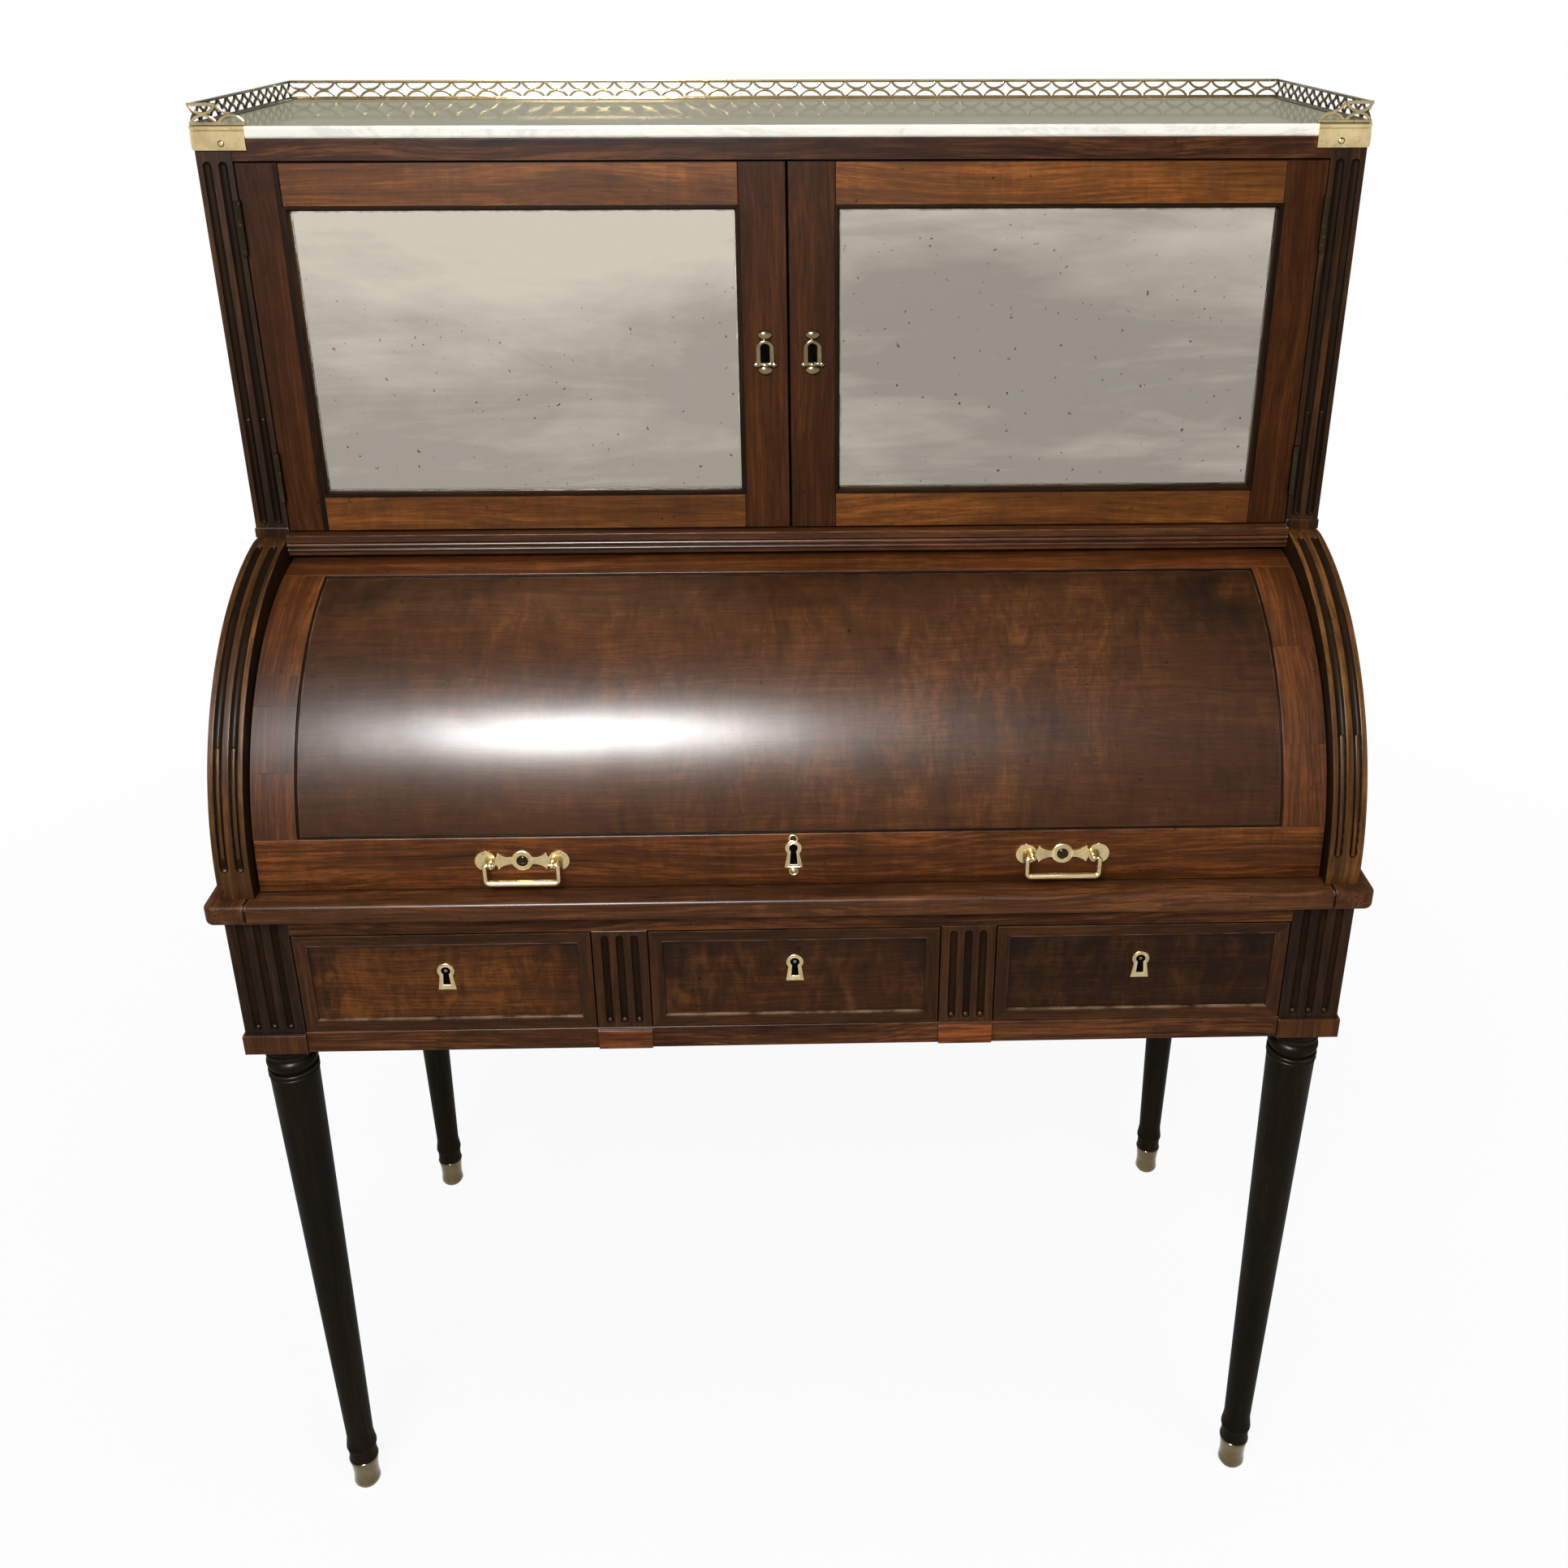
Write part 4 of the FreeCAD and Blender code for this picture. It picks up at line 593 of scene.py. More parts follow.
def makeBrass(name, shade, spots, rougher, wearAndHighlight):
    t, shader, own = startFinish(name)
    f = brassFinish
    dull = t.clouds(own, 60.0, 4.0, 0.6)
    spot = t.clouds(own, 260.0, 3.0, 0.6)
    shadeAndGrime = t.group("cornerShadeAndGrime", Place=own, Reach=f["shadeAndGrimeReach"])["Mask"]
    rubbed = t.group("rubbedAndToplitEdges", Place=own, Reach=f["wornReach"], Least=f["wornLeast"])["Mask"]
    dark = t.span(spot, 0.60, 0.74) * spots
    colour = t.blend(t.span(dull, 0.35, 0.68), shaded(f["bright"], shade), shaded(f["dull"], shade))
    colour = t.blend(dark, colour, f["tarnish"])
    low = f["rough"] + rougher
    rough = t.span(dull, 0.2, 0.8, low, low + f["roughSpread"] * low / f["rough"])
    # painted shade and grime in the hollows, then edges paled by wear and a painted highlight
    t.fill(shader, {"Base Color": t.layered(colour, (shadeAndGrime, 0.85, f["shadeAndGrime"]), (rubbed, wearAndHighlight, f["worn"])),
                    "Roughness": rough + dark * 0.10, "Metallic": 1.0,
                    "Normal": t.bump(spot * 0.4 + dull, 0.10, 0.0006)})


for name, tones in brassTones.items():
    makeBrass(name, *tones)

steelFinish = {
    "bright": (0.42, 0.41, 0.39, 1), "rust": (0.16, 0.085, 0.045, 1), "rough": 0.36, "rustRough": 0.75,
    "lockDark": (0.0015, 0.0012, 0.0010, 1), "lockRust": (0.006, 0.004, 0.003, 1),
}


def makeSteel(name, shade):
    t, shader, own = startFinish(name)
    f = steelFinish
    rust = t.span(t.clouds(own, 320.0, 4.0, 0.65), 0.52, 0.70)
    rings = t.streaks(own, (1500.0, 30.0, 30.0))
    t.fill(shader, {"Base Color": t.blend(rust, shaded(f["bright"], shade), shaded(f["rust"], shade)),
                    "Roughness": t.span(rust, 0.0, 1.0, f["rough"], f["rustRough"]),
                    "Metallic": t.span(rust, 0.0, 1.0, 1.0, 0.3),
                    "Normal": t.bump(rings + rust, 0.12, 0.0004)})


def makeLockShadow():
    # painted shadow: the dark inside of a lock
    t, shader, own = startFinish("lockShadow")
    rust = t.span(t.clouds(own, 420.0), 0.4, 0.7)
    t.fill(shader, {"Base Color": t.blend(rust, steelFinish["lockDark"], steelFinish["lockRust"]),
                    "Roughness": t.span(rust, 0.0, 1.0, 0.55, 0.85), "Specular IOR Level": 0.0,
                    "Normal": t.bump(rust, 0.2, 0.0003)})


makeSteel("turnedSteel", 1.0)
makeSteel("dullSteel", 0.25)
makeLockShadow()

marbleFinish = {
    "white": (0.730, 0.715, 0.645, 1), "cloud": (0.640, 0.635, 0.580, 1), "vein": (0.300, 0.300, 0.290, 1),
    "speck": (0.42, 0.40, 0.30, 1), "topShadeDark": (0.112, 0.108, 0.056, 1),
    "topShadePale": (0.158, 0.150, 0.084, 1), "rough": 0.12, "polish": 0.22, "polishRough": 0.06,
}


def makeMarble():
    # white at the edges; faces that look up are painted a much darker, yellower shade
    t, shader, own = startFinish("greyVeinedMarble")
    f = marbleFinish
    cloudy = t.clouds(own, 7.0, 5.0, 0.6, 1.2)
    veil = t.streaks(own, (5.0, 9.0, 9.0), 6.0, 0.62, 1.6, turn=(0.2, 0.1, 0.5))
    vein = t.span(abs(veil - 0.5), 0.0, 0.028, 1.0, 0.0)
    speck = t.span(t.clouds(own, 210.0, 3.0, 0.6), 0.58, 0.72)
    colour = t.blend(t.span(cloudy, 0.40, 0.75), f["white"], f["cloud"])
    topShade = t.blend(t.span(cloudy, 0.3, 0.7), f["topShadeDark"], f["topShadePale"])
    colour = t.layered(colour, (vein, 0.24, f["vein"]), (speck, 0.25, f["speck"]),
                       (t.span(t.upward(), 0.80, 0.98), 0.85, topShade))
    rough = t.span(t.clouds(own, 24.0, 4.0, 0.6), 0.3, 0.7, f["rough"], f["rough"] + 0.12)
    t.fill(shader, {
        "Base Color": colour, "Roughness": rough, "Specular IOR Level": 0.0,
        "Coat Weight": t.span(cloudy, 0.3, 0.7, f["polish"], f["polish"] * 0.7),
        "Coat Roughness": f["polishRough"],
        "Normal": t.bump(cloudy + vein * -0.3, 0.03)})


# the clear and hazy silver also carry a painted reflection, lighter where clear
mirrorFinish = {
    "clear": (0.600, 0.550, 0.465, 1), "hazeAndShade": (0.330, 0.302, 0.258, 1), "loss": (0.090, 0.078, 0.060, 1),
    "rough": 0.03, "hazeRough": 0.12, "lossLeast": 0.0018, "lossReach": 0.0070, "lossSoft": 0.0022,
}


def makeMirror(name, middle, half, shade, brighterTop):
    # old silvering: hazy clouds, specks, and losses that creep in from the rim, with a painted reflection
    # blended into the haze that brightens towards the top and runs in bands across
    t, shader, own = startFinish(name)
    f = mirrorFinish
    place = t.stretch(own, (1 / half[0], 1.0, 1 / half[1]), (-middle[0] / half[0], 0, -middle[1] / half[1]))
    x, _, z = t.split(place)
    side, end = ((1.0 - abs(way)) * reach for way, reach in zip((x, z), half))
    streak = t.streaks(own, (2.4, 2.4, 17.0), 7.0, 0.62, 0.9, (3, 1, 2), (0, 0.05, 0))
    hazeAndShade = t.streaks(own, (3.0, 3.0, 7.0), 5.0, 0.6, 0.5) + (streak - 0.5) * 0.80
    hazeAndShade = hazeAndShade + t.span(z + streak * 0.8, 0.45, 1.20, 0.20, -brighterTop)
    creep = t.clouds(own, 46.0, 5.0, 0.66) * f["lossReach"] + f["lossLeast"]
    loss = t.span(creep - t.sums("MINIMUM", side, end), 0.0, f["lossSoft"]) * 0.8
    dots = t.span(t.clouds(own, 190.0, 2.0, 0.5), 0.70, 0.735) * t.span(hazeAndShade, 0.36, 0.56)
    colour = t.blend(t.span(hazeAndShade, 0.30, 0.70), shaded(f["clear"], shade), shaded(f["hazeAndShade"], shade))
    rough = t.span(hazeAndShade, 0.35, 0.75, f["rough"], f["hazeRough"])
    t.fill(shader, {"Base Color": t.blend(t.most(loss, dots), colour, f["loss"]), "Metallic": 1.0,
                    "Roughness": rough + loss * 0.35, "Normal": t.bump(t.clouds(own, 5.0, 2.0), 0.02, 0.002)})


leatherFinish = {
    "hide": (0.050, 0.085, 0.040, 1), "rubbed": (0.120, 0.135, 0.065, 1), "gilt": (0.520, 0.380, 0.130, 1),
    "pore": (0.022, 0.034, 0.018, 1), "rough": 0.48, "borderIn": 0.014, "borderWide": 0.010, "line": 0.0012,
    "beads": 130.0, "pores": 620.0,
}


def makeLeather(low, high):
    # skiver with a tooled gilt border
    t, shader, own = startFinish("tooledLeather")
    f = leatherFinish
    middle, half = ([(b + sign * a) / 2 for a, b in zip(low, high)] for sign in (1, -1))
    place = t.split(t.stretch(own, (1, 1, 1), (-middle[0], -middle[1], 0)))
    rim = t.sums("MINIMUM", *(half[k] - abs(place[k]) for k in (0, 1)))
    first, last = f["borderIn"], f["borderIn"] + f["borderWide"]
    lineAt = lambda at: t.span(abs(rim - at), f["line"] * 0.4, f["line"] * 0.6, 1.0, 0.0)
    beads = t.put("ShaderNodeTexVoronoi", {"Vector": own, "Scale": f["beads"], "Randomness": 0.0}, "Distance")
    inBand = t.sums("GREATER_THAN", rim, first) * t.sums("LESS_THAN", rim, last)
    dots = t.span(beads, 0.22, 0.30, 1.0, 0.0) * inBand
    worn = t.span(t.clouds(own, 26.0, 4.0, 0.6), 0.30, 0.58, 1.0, 0.25)
    gilt = t.most(lineAt(first), lineAt(last), dots) * worn
    pores = t.put("ShaderNodeTexVoronoi", {"Vector": own, "Scale": f["pores"]}, "Distance")
    rub = t.span(t.clouds(own, 5.0, 4.0, 0.6), 0.42, 0.72)
    colour = t.layered(t.blend(rub, f["hide"], f["rubbed"]), (pores, 0.5, f["pore"]))
    t.fill(shader, {"Base Color": t.blend(gilt, colour, f["gilt"]), "Metallic": gilt * 0.85,
                    "Roughness": t.span(rub, 0.0, 1.0, f["rough"], f["rough"] - 0.12),
                    "Normal": t.bump(pores - gilt, 0.22, 0.0005)})


makeMarble()
makeLeather(*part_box("writing_leather"))
print("finishes made")


def copyBoard(node, name, body, axis, finishes, edge, where=None, angle=34, pick=None,
              flat=None, shortest=0.004):
    # a CAD node with softened edges and its own grain; where picks a finish by the middle of a face
    stock = newStock()
    addShape(stock, cadCopy(node, edge, shortest), pick or alongAxis(axis, name), flat=flat)
    if where:
        for i, face in enumerate(stock["faces"]):
            stock["finish"][i] = int(where(sum((stock["verts"][k] for k in face), Vector()) / len(face)))
    setPiece(name, stock, finishes, body, node, angle=angle)


# plain mahogany boards of the case: node, piece, grain, finish, edge
boards = (
    ("front_upper_rail", "friezeUpperRail", "x", "upperRailMahogany", 0.0006),
    ("side_aprons", "sideAprons", "y", "railMahogany", 0.0010),
    ("back_apron", "backApron", "x", "caseMahogany", 0.0010),
    ("rear_bed", "rearBed", "x", "caseMahogany", 0.0008),
    ("moulded_rail", "mouldedRail", "x", "mouldMahogany", 0.0003),
    ("cabinet_top", "cabinetTop", "x", "upperRailMahogany", 0.0006),
    ("nest_case", "pigeonholeNest", "x", "nestMahogany", 0.0005),
)
for node, name, axis, finish, edge in boards:
    copyBoard(node, name, "case", axis, [finish], edge)
for side in threeSides:
    node = "nest_drawer_" + side
    copyBoard(node, "nestDrawer" + side.title(), node, "x", ["nestMahogany"], 0.0005)

# the joints beside the writing slide are worn open; their faces take the dark flute finish as painted shade
# of the gap
topJoint = {"edge": 0.0012, "reach": 0.0015, "at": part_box("writing_slide")[1][0]}
for node, name, body, axis in (("top_side_left", "topBoardLeft", "case", "y"),
                               ("top_side_right", "topBoardRight", "case", "y"),
                               ("writing_slide", "writingSlideBoard", "slide", "x")):
    copyBoard(node, name, body, axis, ["slabMahogany", "fluteMahogany"], topJoint["edge"],
              lambda co: abs(abs(co.x) - topJoint["at"]) < topJoint["reach"])

# base blocks on the rail, and painted shade in the flutes of dies and uprights
flutes = {
    "railFace": -0.2396, "railEdge": 0.0007, "dieFace": -0.2385, "dieBack": -0.2355, "uprightFace": -0.0215,
    "uprightBack": -0.0180, "inner": 0.466, "outer": 0.492, "edge": 0.0006,
}


def inDie(co):
    return flutes["dieFace"] < co.y < flutes["dieBack"]


def besideFlutes(co):
    return flutes["inner"] < abs(co.x) < flutes["outer"]


def inUpright(co):
    return flutes["uprightFace"] < co.y < flutes["uprightBack"] and besideFlutes(co)


copyBoard("front_lower_rail", "friezeLowerRail", "case", "x", ["railMahogany", "blockMahogany"],
          flutes["railEdge"], lambda co: co.y < flutes["railFace"])
copyBoard("drawer_dividers", "friezeDies", "case", "z", ["dieMahogany", "fluteMahogany"], flutes["edge"],
          inDie)
for side in twoSides:
    copyBoard("cabinet_side_" + side, "cabinetSide" + side.title(), "case", "z",
              ["uprightMahogany", "fluteMahogany"], flutes["edge"], inUpright)

arm = {"axisY": 0.005, "axisZ": 0.767, "edge": 0.0006, "fluteIn": 0.2429, "inner": 0.4646, "grainReach": 0.24}


def armReach(co):
    return math.hypot(co[1] - arm["axisY"], co[2] - arm["axisZ"])


def armGrain(name):
    # the grain follows the bend
    shift = seedOf(name)
    turn = lambda co: math.atan2(co[2] - arm["axisZ"], arm["axisY"] - co[1])
    return lambda co: Vector((turn(co) * arm["grainReach"], co[0], armReach(co))) + shift


def armDark(co):
    # painted shade: the flutes, and the inner face that the fall runs along
    return abs(co.x) < arm["inner"] or (co.y < 0 and armReach(co) < arm["fluteIn"] and besideFlutes(co))


for side in twoSides:
    name = "arm" + side.title()
    copyBoard("case_side_" + side, name, "case", "z", ["armMahogany", "fluteMahogany"], arm["edge"], armDark,
              pick=armGrain(name), flat=alongAxis("z", "armSide" + side.title()))
print("boards and arms made")

leg = {"dieLow": 0.5919, "blockTop": 0.612, "edge": 0.0006, "shortest": 0.010}
legFinishes = ["legMahogany", "cornerDieMahogany", "cornerBlockMahogany", "fluteMahogany"]


def legPart(co):
    # turned leg, base block, then the die, with painted shade in its flutes
    return 0 if co.z < leg["dieLow"] else 2 if co.z < leg["blockTop"] else 3 if inDie(co) else 1


for end in ("front", "back"):
    for side in twoSides:
        name = "leg" + end.title() + side.title()
        copyBoard("leg_%s_%s" % (end, side), name, "case", "z", legFinishes, leg["edge"], legPart, angle=40,
                  shortest=leg["shortest"])
print("legs made")

fall = {
    "axisY": -0.006, "axisZ": 0.767, "radius": 0.222, "thick": 0.014, "half": 0.4625, "low": 0.7566,
    "lap": 0.004, "panelHalf": 0.425, "panelLow": 0.8060, "panelHigh": -0.057, "panelSet": 0.0024,
    "panelThick": 0.008, "beadWide": 0.0018, "beadProud": 0.0012, "beadDeep": 0.002, "beadEdge": 0.0007,
    "lowEdge": 0.0009, "edge": 0.0005, "staveEdge": 0.00022, "step": 1.5,
    "staves": {-1: (0.0976, 0.1554, 0.1833), 1: (0.1120, 0.2010)},
}


def bendFall(co):
    # flat board (x, depth, arc length) to its place on the cylinder
    turn = co[2] / fall["radius"]
    reach = fall["radius"] - co[1]
    return Vector((co[0], fall["axisY"] - reach * math.cos(turn), fall["axisZ"] + reach * math.sin(turn)))


def fallArc(z):
    return fall["radius"] * math.asin((z - fall["axisZ"]) / fall["radius"])


def onFall(x, arc, height):
    return bendFall((x, -height, arc))


def curved(stock, x, depth, arc, edge, axis, name, finish=0):
    bm = slab("x", (x[0], depth[0], arc[0]), (x[1], depth[1], arc[1]), edge)
    cuts = max(2, int(math.degrees((arc[1] - arc[0]) / fall["radius"]) / fall["step"]))
    for i in range(1, cuts):
        cut(bm, (0, 0, arc[0] + (arc[1] - arc[0]) * i / cuts), (0, 0, 1))
    addShape(stock, bm, alongAxis(axis, name), finish, bendFall)


def makeFall():
    f = fall
    low, panelLow = fallArc(f["low"]), fallArc(f["panelLow"])
    panelHigh = f["radius"] * math.acos((f["axisY"] - f["panelHigh"]) / f["radius"])
    high = f["radius"] * (math.pi / 2 + math.asin((f["lap"] - f["axisY"]) / f["radius"]))
    body, whole = (0.0, f["thick"]), (-f["half"], f["half"])
    stock = newStock()
    curved(stock, whole, body, (low, panelLow), f["lowEdge"], "x", "fallRailLow", 1)
    curved(stock, whole, body, (panelHigh, high), f["edge"], "x", "fallRailHigh")
    for side, joints in f["staves"].items():
        x = sorted((side * f["half"], side * f["panelHalf"]))
        ends = [panelLow, *joints, panelHigh]       # each stile is made of short staves
        for i in range(len(ends) - 1):
            curved(stock, x, body, (ends[i], ends[i + 1]), f["staveEdge"], "z", "fallStave%d%d" % (side, i))
    setPiece("fallFrame", stock, ["fallMahogany", "fallRailMahogany"], "fall", "fall_frame")
    stock = newStock()
    across, up = (-f["panelHalf"], f["panelHalf"]), (panelLow, panelHigh)
    deep, wide = f["panelSet"], f["beadWide"]
    beadDepth = (deep - f["beadProud"], deep + f["beadDeep"])
    curved(stock, across, (deep, deep + f["panelThick"]), up, 0.0, "x", "fallPanel")
    beads = ((across, (panelLow, panelLow + wide), "x"), (across, (panelHigh - wide, panelHigh), "x"),
             ((across[0], across[0] + wide), up, "z"), ((across[1] - wide, across[1]), up, "z"))
    for x, arc, axis in beads:
        curved(stock, x, beadDepth, arc, f["beadEdge"], axis, "fallBead", 1)
    setPiece("fallPanel", stock, ["fallVeneer", "beadMahogany"], "fall", "fall_panel")


makeFall()
print("fall made")

# the frame's profile ends in a bead: places across it in bead widths, depths behind the face
drawer = {
    "frame": 0.0125, "recess": 0.0025, "edge": 0.0009, "bead": 0.0022, "lap": 0.001, "veneerEdge": 0.0004,
    "beadShape": ((1.0, 0.0), (1.0, 0.0006), (0.75, 0.0003), (0.4, 0.0005), (0.1, 0.0013)),
}


def makeDrawerFront(side):
    node, name, d = "drawer_%s_front" % side, "drawerFront" + side.title(), drawer
    low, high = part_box(node)
    face, floor = low[1], low[1] + d["recess"]
    stock = newStock()
    addShape(stock, slab("x", (low[0], floor, low[2]), high, d["veneerEdge"]), alongAxis("x", name))
    e, w = d["edge"], d["frame"]
    profile = [(0.0, floor + d["lap"]), (0.0, face + e), (e * 0.3, face + e * 0.3), (e, face)]
    profile += [(w - d["bead"] * share, face + deep) for share, deep in d["beadShape"]]
    profile += [(w, floor + d["lap"])]
    # the frame's outer face and edge are painted in shade, for the gap round the drawer
    gapShade = lambda strip: 2 if strip < 2 else 1
    mitred(stock, (low[0], high[0], low[2], high[2]), profile, name + "Frame", gapShade)
    finishes = ["drawerVeneer" + side.title(), "drawerFrameMahogany", "beadMahogany"]
    setPiece(name, stock, finishes, "drawer_" + side, node)


for side in threeSides:
    makeDrawerFront(side)
print("drawer fronts made")

# for each door its mirror's painted shade, and how much brighter its painted reflection grows towards the top
door = {
    "edge": 0.0010, "rebate": 0.007, "fitIn": 0.0065, "lap": 0.0012, "bead": 0.0034, "beadDeep": 0.003,
    "glassBevel": 0.0095, "glassFall": 0.0010, "shadow": 0.0045, "shadowed": ("left", 1),
    "beadShape": ((0.0, 0.0), (0.45, 0.0), (0.85, 0.0014), (1.0, 0.0034)),
    "left": (1.06, 0.24), "right": (0.93, 0.10),
}


def makeDoor(side):
    body, d = "door_" + side, door
    low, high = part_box(body + "_frame")
    glassLow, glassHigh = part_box(body + "_mirror")
    sight = [edge for k in (0, 2) for edge in (glassLow[k] + d["fitIn"], glassHigh[k] - d["fitIn"])]
    face, back, shelf, lap = low[1], high[1], glassLow[1], d["lap"]
    stock = newStock()

    def addBar(axis, k, ends, name, a, b, inner):
        step = b - inner * d["rebate"]
        outline = [(a, face), (b, face), (b, shelf), (step, shelf), (step, back), (a, back)]
        bm = prism(axis, outline if axis == "z" else [(y, z) for z, y in outline], *ends, d["edge"])
        line, shady = b - d["shadow"], axis == "z" and d["shadowed"] == (side, inner)
        if axis == "z":
            cut(bm, (line, 0, 0), (1, 0, 0))

        def finish(item):
            # painted shade: the gap round the door is dark, and so is the shaded strip of one stile
            co = item.calc_center_median()
            gap = min(co.x - low[0], high[0] - co.x, co.z - low[2], high[2] - co.z) < d["edge"]
            return 2 if gap or (shady and co.x > line) else k // 2      # stiles 0, rails 1
        addShape(stock, bm, alongAxis(axis, body + name + str(inner)), finish)

    for axis, k, ends, name in (("z", 0, (low[2], high[2]), "Stile"), ("x", 2, sight[:2], "Rail")):
        addBar(axis, k, ends, name, low[k], sight[k], 1)
        addBar(axis, k, ends, name, high[k], sight[k + 1], -1)
    profile = [(-lap, face + d["beadDeep"]), (-lap, face), (-lap * 2 / 3, face)]
    profile += [(d["bead"] * share, face + deep) for share, deep in d["beadShape"]]
    profile += [(d["bead"], shelf), (-lap, shelf)]
    mitred(stock, sight, profile, body + "Bead", 2)
    finishes = ["doorStileMahogany", "doorRailMahogany", "beadMahogany"]
    setPiece("doorFrame" + side.title(), stock, finishes, body, body + "_frame")
    stock, g, (near, far) = newStock(), d["glassBevel"], (glassLow[1], glassHigh[1])
    profile = [(g, near), (0.0, near + d["glassFall"]), (0.0, far), (g, far)]
    mitred(stock, (glassLow[0], glassHigh[0], glassLow[2], glassHigh[2]), profile, body + "Glass")
    flat = slab("x", (glassLow[0] + g, near, glassLow[2] + g), (glassHigh[0] - g, far, glassHigh[2] - g), 0.0)
    addShape(stock, flat, alongAxis("x", body + "Glass"))
    middle = ((glassLow[0] + glassHigh[0]) / 2, (glassLow[2] + glassHigh[2]) / 2)
    half = ((sight[1] - sight[0]) / 2, (sight[3] - sight[2]) / 2)
    silver = "agedMirror" + side.title()
    makeMirror(silver, middle, half, *d[side])
    setPiece("doorMirror" + side.title(), stock, [silver], body, body + "_mirror", angle=2)


for side in twoSides:
    makeDoor(side)
print("doors made")

# raised rims of a plate: share of the way in, height as a share of the plate's thickness
plateRims = ((0.0, -0.4), (0.0, 0.62), (0.06, 0.90), (0.20, 1.0), (0.34, 0.86), (0.42, 0.64), (0.60, 0.64),
             (0.70, 0.86), (0.82, 0.98), (0.94, 0.84), (1.0, 0.55), (1.0, -0.4))
roundRims = ((0.0, -0.4), (0.0, 0.25), (0.07, 0.60), (0.22, 0.90), (0.45, 1.0), (0.70, 0.90), (0.92, 0.58),
             (1.0, 0.25), (1.0, -0.4))
fittings = {"finishes": ["agedBrass", "darkBrass", "lockShadow", "turnedSteel", "dullSteel"], "edge": 0.0003,
            "out": 0.0002, "sunk": 0.001}


def rows(rims, thick):
    return [(share, height * thick) for share, height in rims]


def backing(x, half, face, low, high):
    # painted shadow: a dark sheet for the dark of the lock behind a keyhole
    return slab("x", (x - half, face - fittings["out"], low), (x + half, face + fittings["sunk"], high), 0.0)


drawerKey = {
    "thick": 0.0012, "reach": 0.0077, "neck": 0.0059, "foot": 0.0081, "hole": 0.0041, "slotNeck": 0.0024,
    "slotFoot": 0.0032, "slotLow": 0.0146, "pin": 0.0015, "pinOut": (-0.0002, 0.0006, 0.0009),
    "backHalf": 0.0049, "backLow": 0.0018, "backHigh": 0.0051, "lockBehind": 0.0005,
}


def makeDrawerKey(side):
    d, node = drawerKey, "drawer_%s_fittings" % side
    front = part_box(node)[0][1] + d["thick"]
    isLock = lambda co: co.y > front + d["lockBehind"]
    plate = [vert.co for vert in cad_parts[node].data.vertices if not isLock(vert.co)]
    middle = (min(co.x for co in plate) + max(co.x for co in plate)) / 2
    foot, eye = min(co.z for co in plate), max(co.z for co in plate) - d["reach"]
    place = lambda x, z, height: Vector((x, front - height, z))
    grain, stock = alongAxis("x", node), newStock()
    addShape(stock, cadCopy(node, fittings["edge"], keep=isLock), grain, 3)
    outer = keyOutline(middle, eye, d["reach"], d["neck"], d["foot"], foot)
    inner = keyOutline(middle, eye, d["hole"], d["slotNeck"], d["slotFoot"], eye - d["slotLow"])
    addShape(stock, rimmed(outer, inner, rows(plateRims, d["thick"]), place), grain, 0)
    addShape(stock, backing(middle, d["backHalf"], front, foot + d["backLow"], eye + d["backHigh"]), grain, 2)
    pin = [Vector((middle, front - out, eye)) for out in d["pinOut"]]
    addShape(stock, tube(pin, (d["pin"], d["pin"], d["pin"] * 0.5), Vector((1, 0, 0)), 12), grain, 4)
    setPiece("drawerKeyPlate" + side.title(), stock, fittings["finishes"], "drawer_" + side, node,
             angle=50)


for side in threeSides:
    makeDrawerKey(side)

fallKey = {
    "thick": 0.0014, "eyeUp": 0.007, "footDown": 0.0117, "reach": 0.0072, "neck": 0.0053, "foot": 0.0081,
    "hole": 0.0035, "slotNeck": 0.0022, "slotFoot": 0.0032, "rim": 0.0034, "ring": 0.0044, "ringHole": 0.0025,
    "ringThick": 0.00126, "ringUp": 0.0155, "boss": 0.0027, "pinRise": 0.0004, "knobRise": 0.0013,
    "middle": 0.7859, "lockOut": 0.212, "backHalf": 0.0042, "backLow": 0.0016, "backHigh": 0.0044,
}


def makeFallKey():
    k = fallKey
    grain, stock = alongAxis("x", "fallKeyPlate"), newStock()
    isLock = lambda co: math.hypot(co.y - fall["axisY"], co.z - fall["axisZ"]) < k["lockOut"]
    addShape(stock, cadCopy("fall_fittings", fittings["edge"], keep=isLock), grain, 3)
    eye, foot = fallArc(k["middle"] + k["eyeUp"]), fallArc(k["middle"] - k["footDown"])
    outer = keyOutline(0.0, eye, k["reach"], k["neck"], k["foot"], foot)
    inner = keyOutline(0.0, eye, k["hole"], k["slotNeck"], k["slotFoot"], foot + k["rim"])
    addShape(stock, rimmed(outer, inner, rows(plateRims, k["thick"]), onFall), grain, 0)
    # a painted shadow behind the keyhole
    curved(stock, (-k["backHalf"], k["backHalf"]), (-fittings["out"], fittings["sunk"]),
           (foot + k["backLow"], eye + k["backHigh"]), 0.0, "x", "fallKeyhole", 2)
    for up, finish, rise in ((k["ringUp"], 1, k["pinRise"]), (-k["ringUp"], 0, k["knobRise"])):
        spot = (0.0, fallArc(k["middle"] + up))
        outer, inner = (ringOutline(spot, reach, reach, 32) for reach in (k["ring"], k["ringHole"]))
        addShape(stock, rimmed(outer, inner, rows(roundRims, k["ringThick"]), onFall), grain, 0)
        addShape(stock, domed(spot, (k["boss"],) * 2, rise, onFall), grain, finish)
    setPiece("fallKeyPlate", stock, fittings["finishes"], "fall", "fall_fittings", angle=50)


makeFallKey()

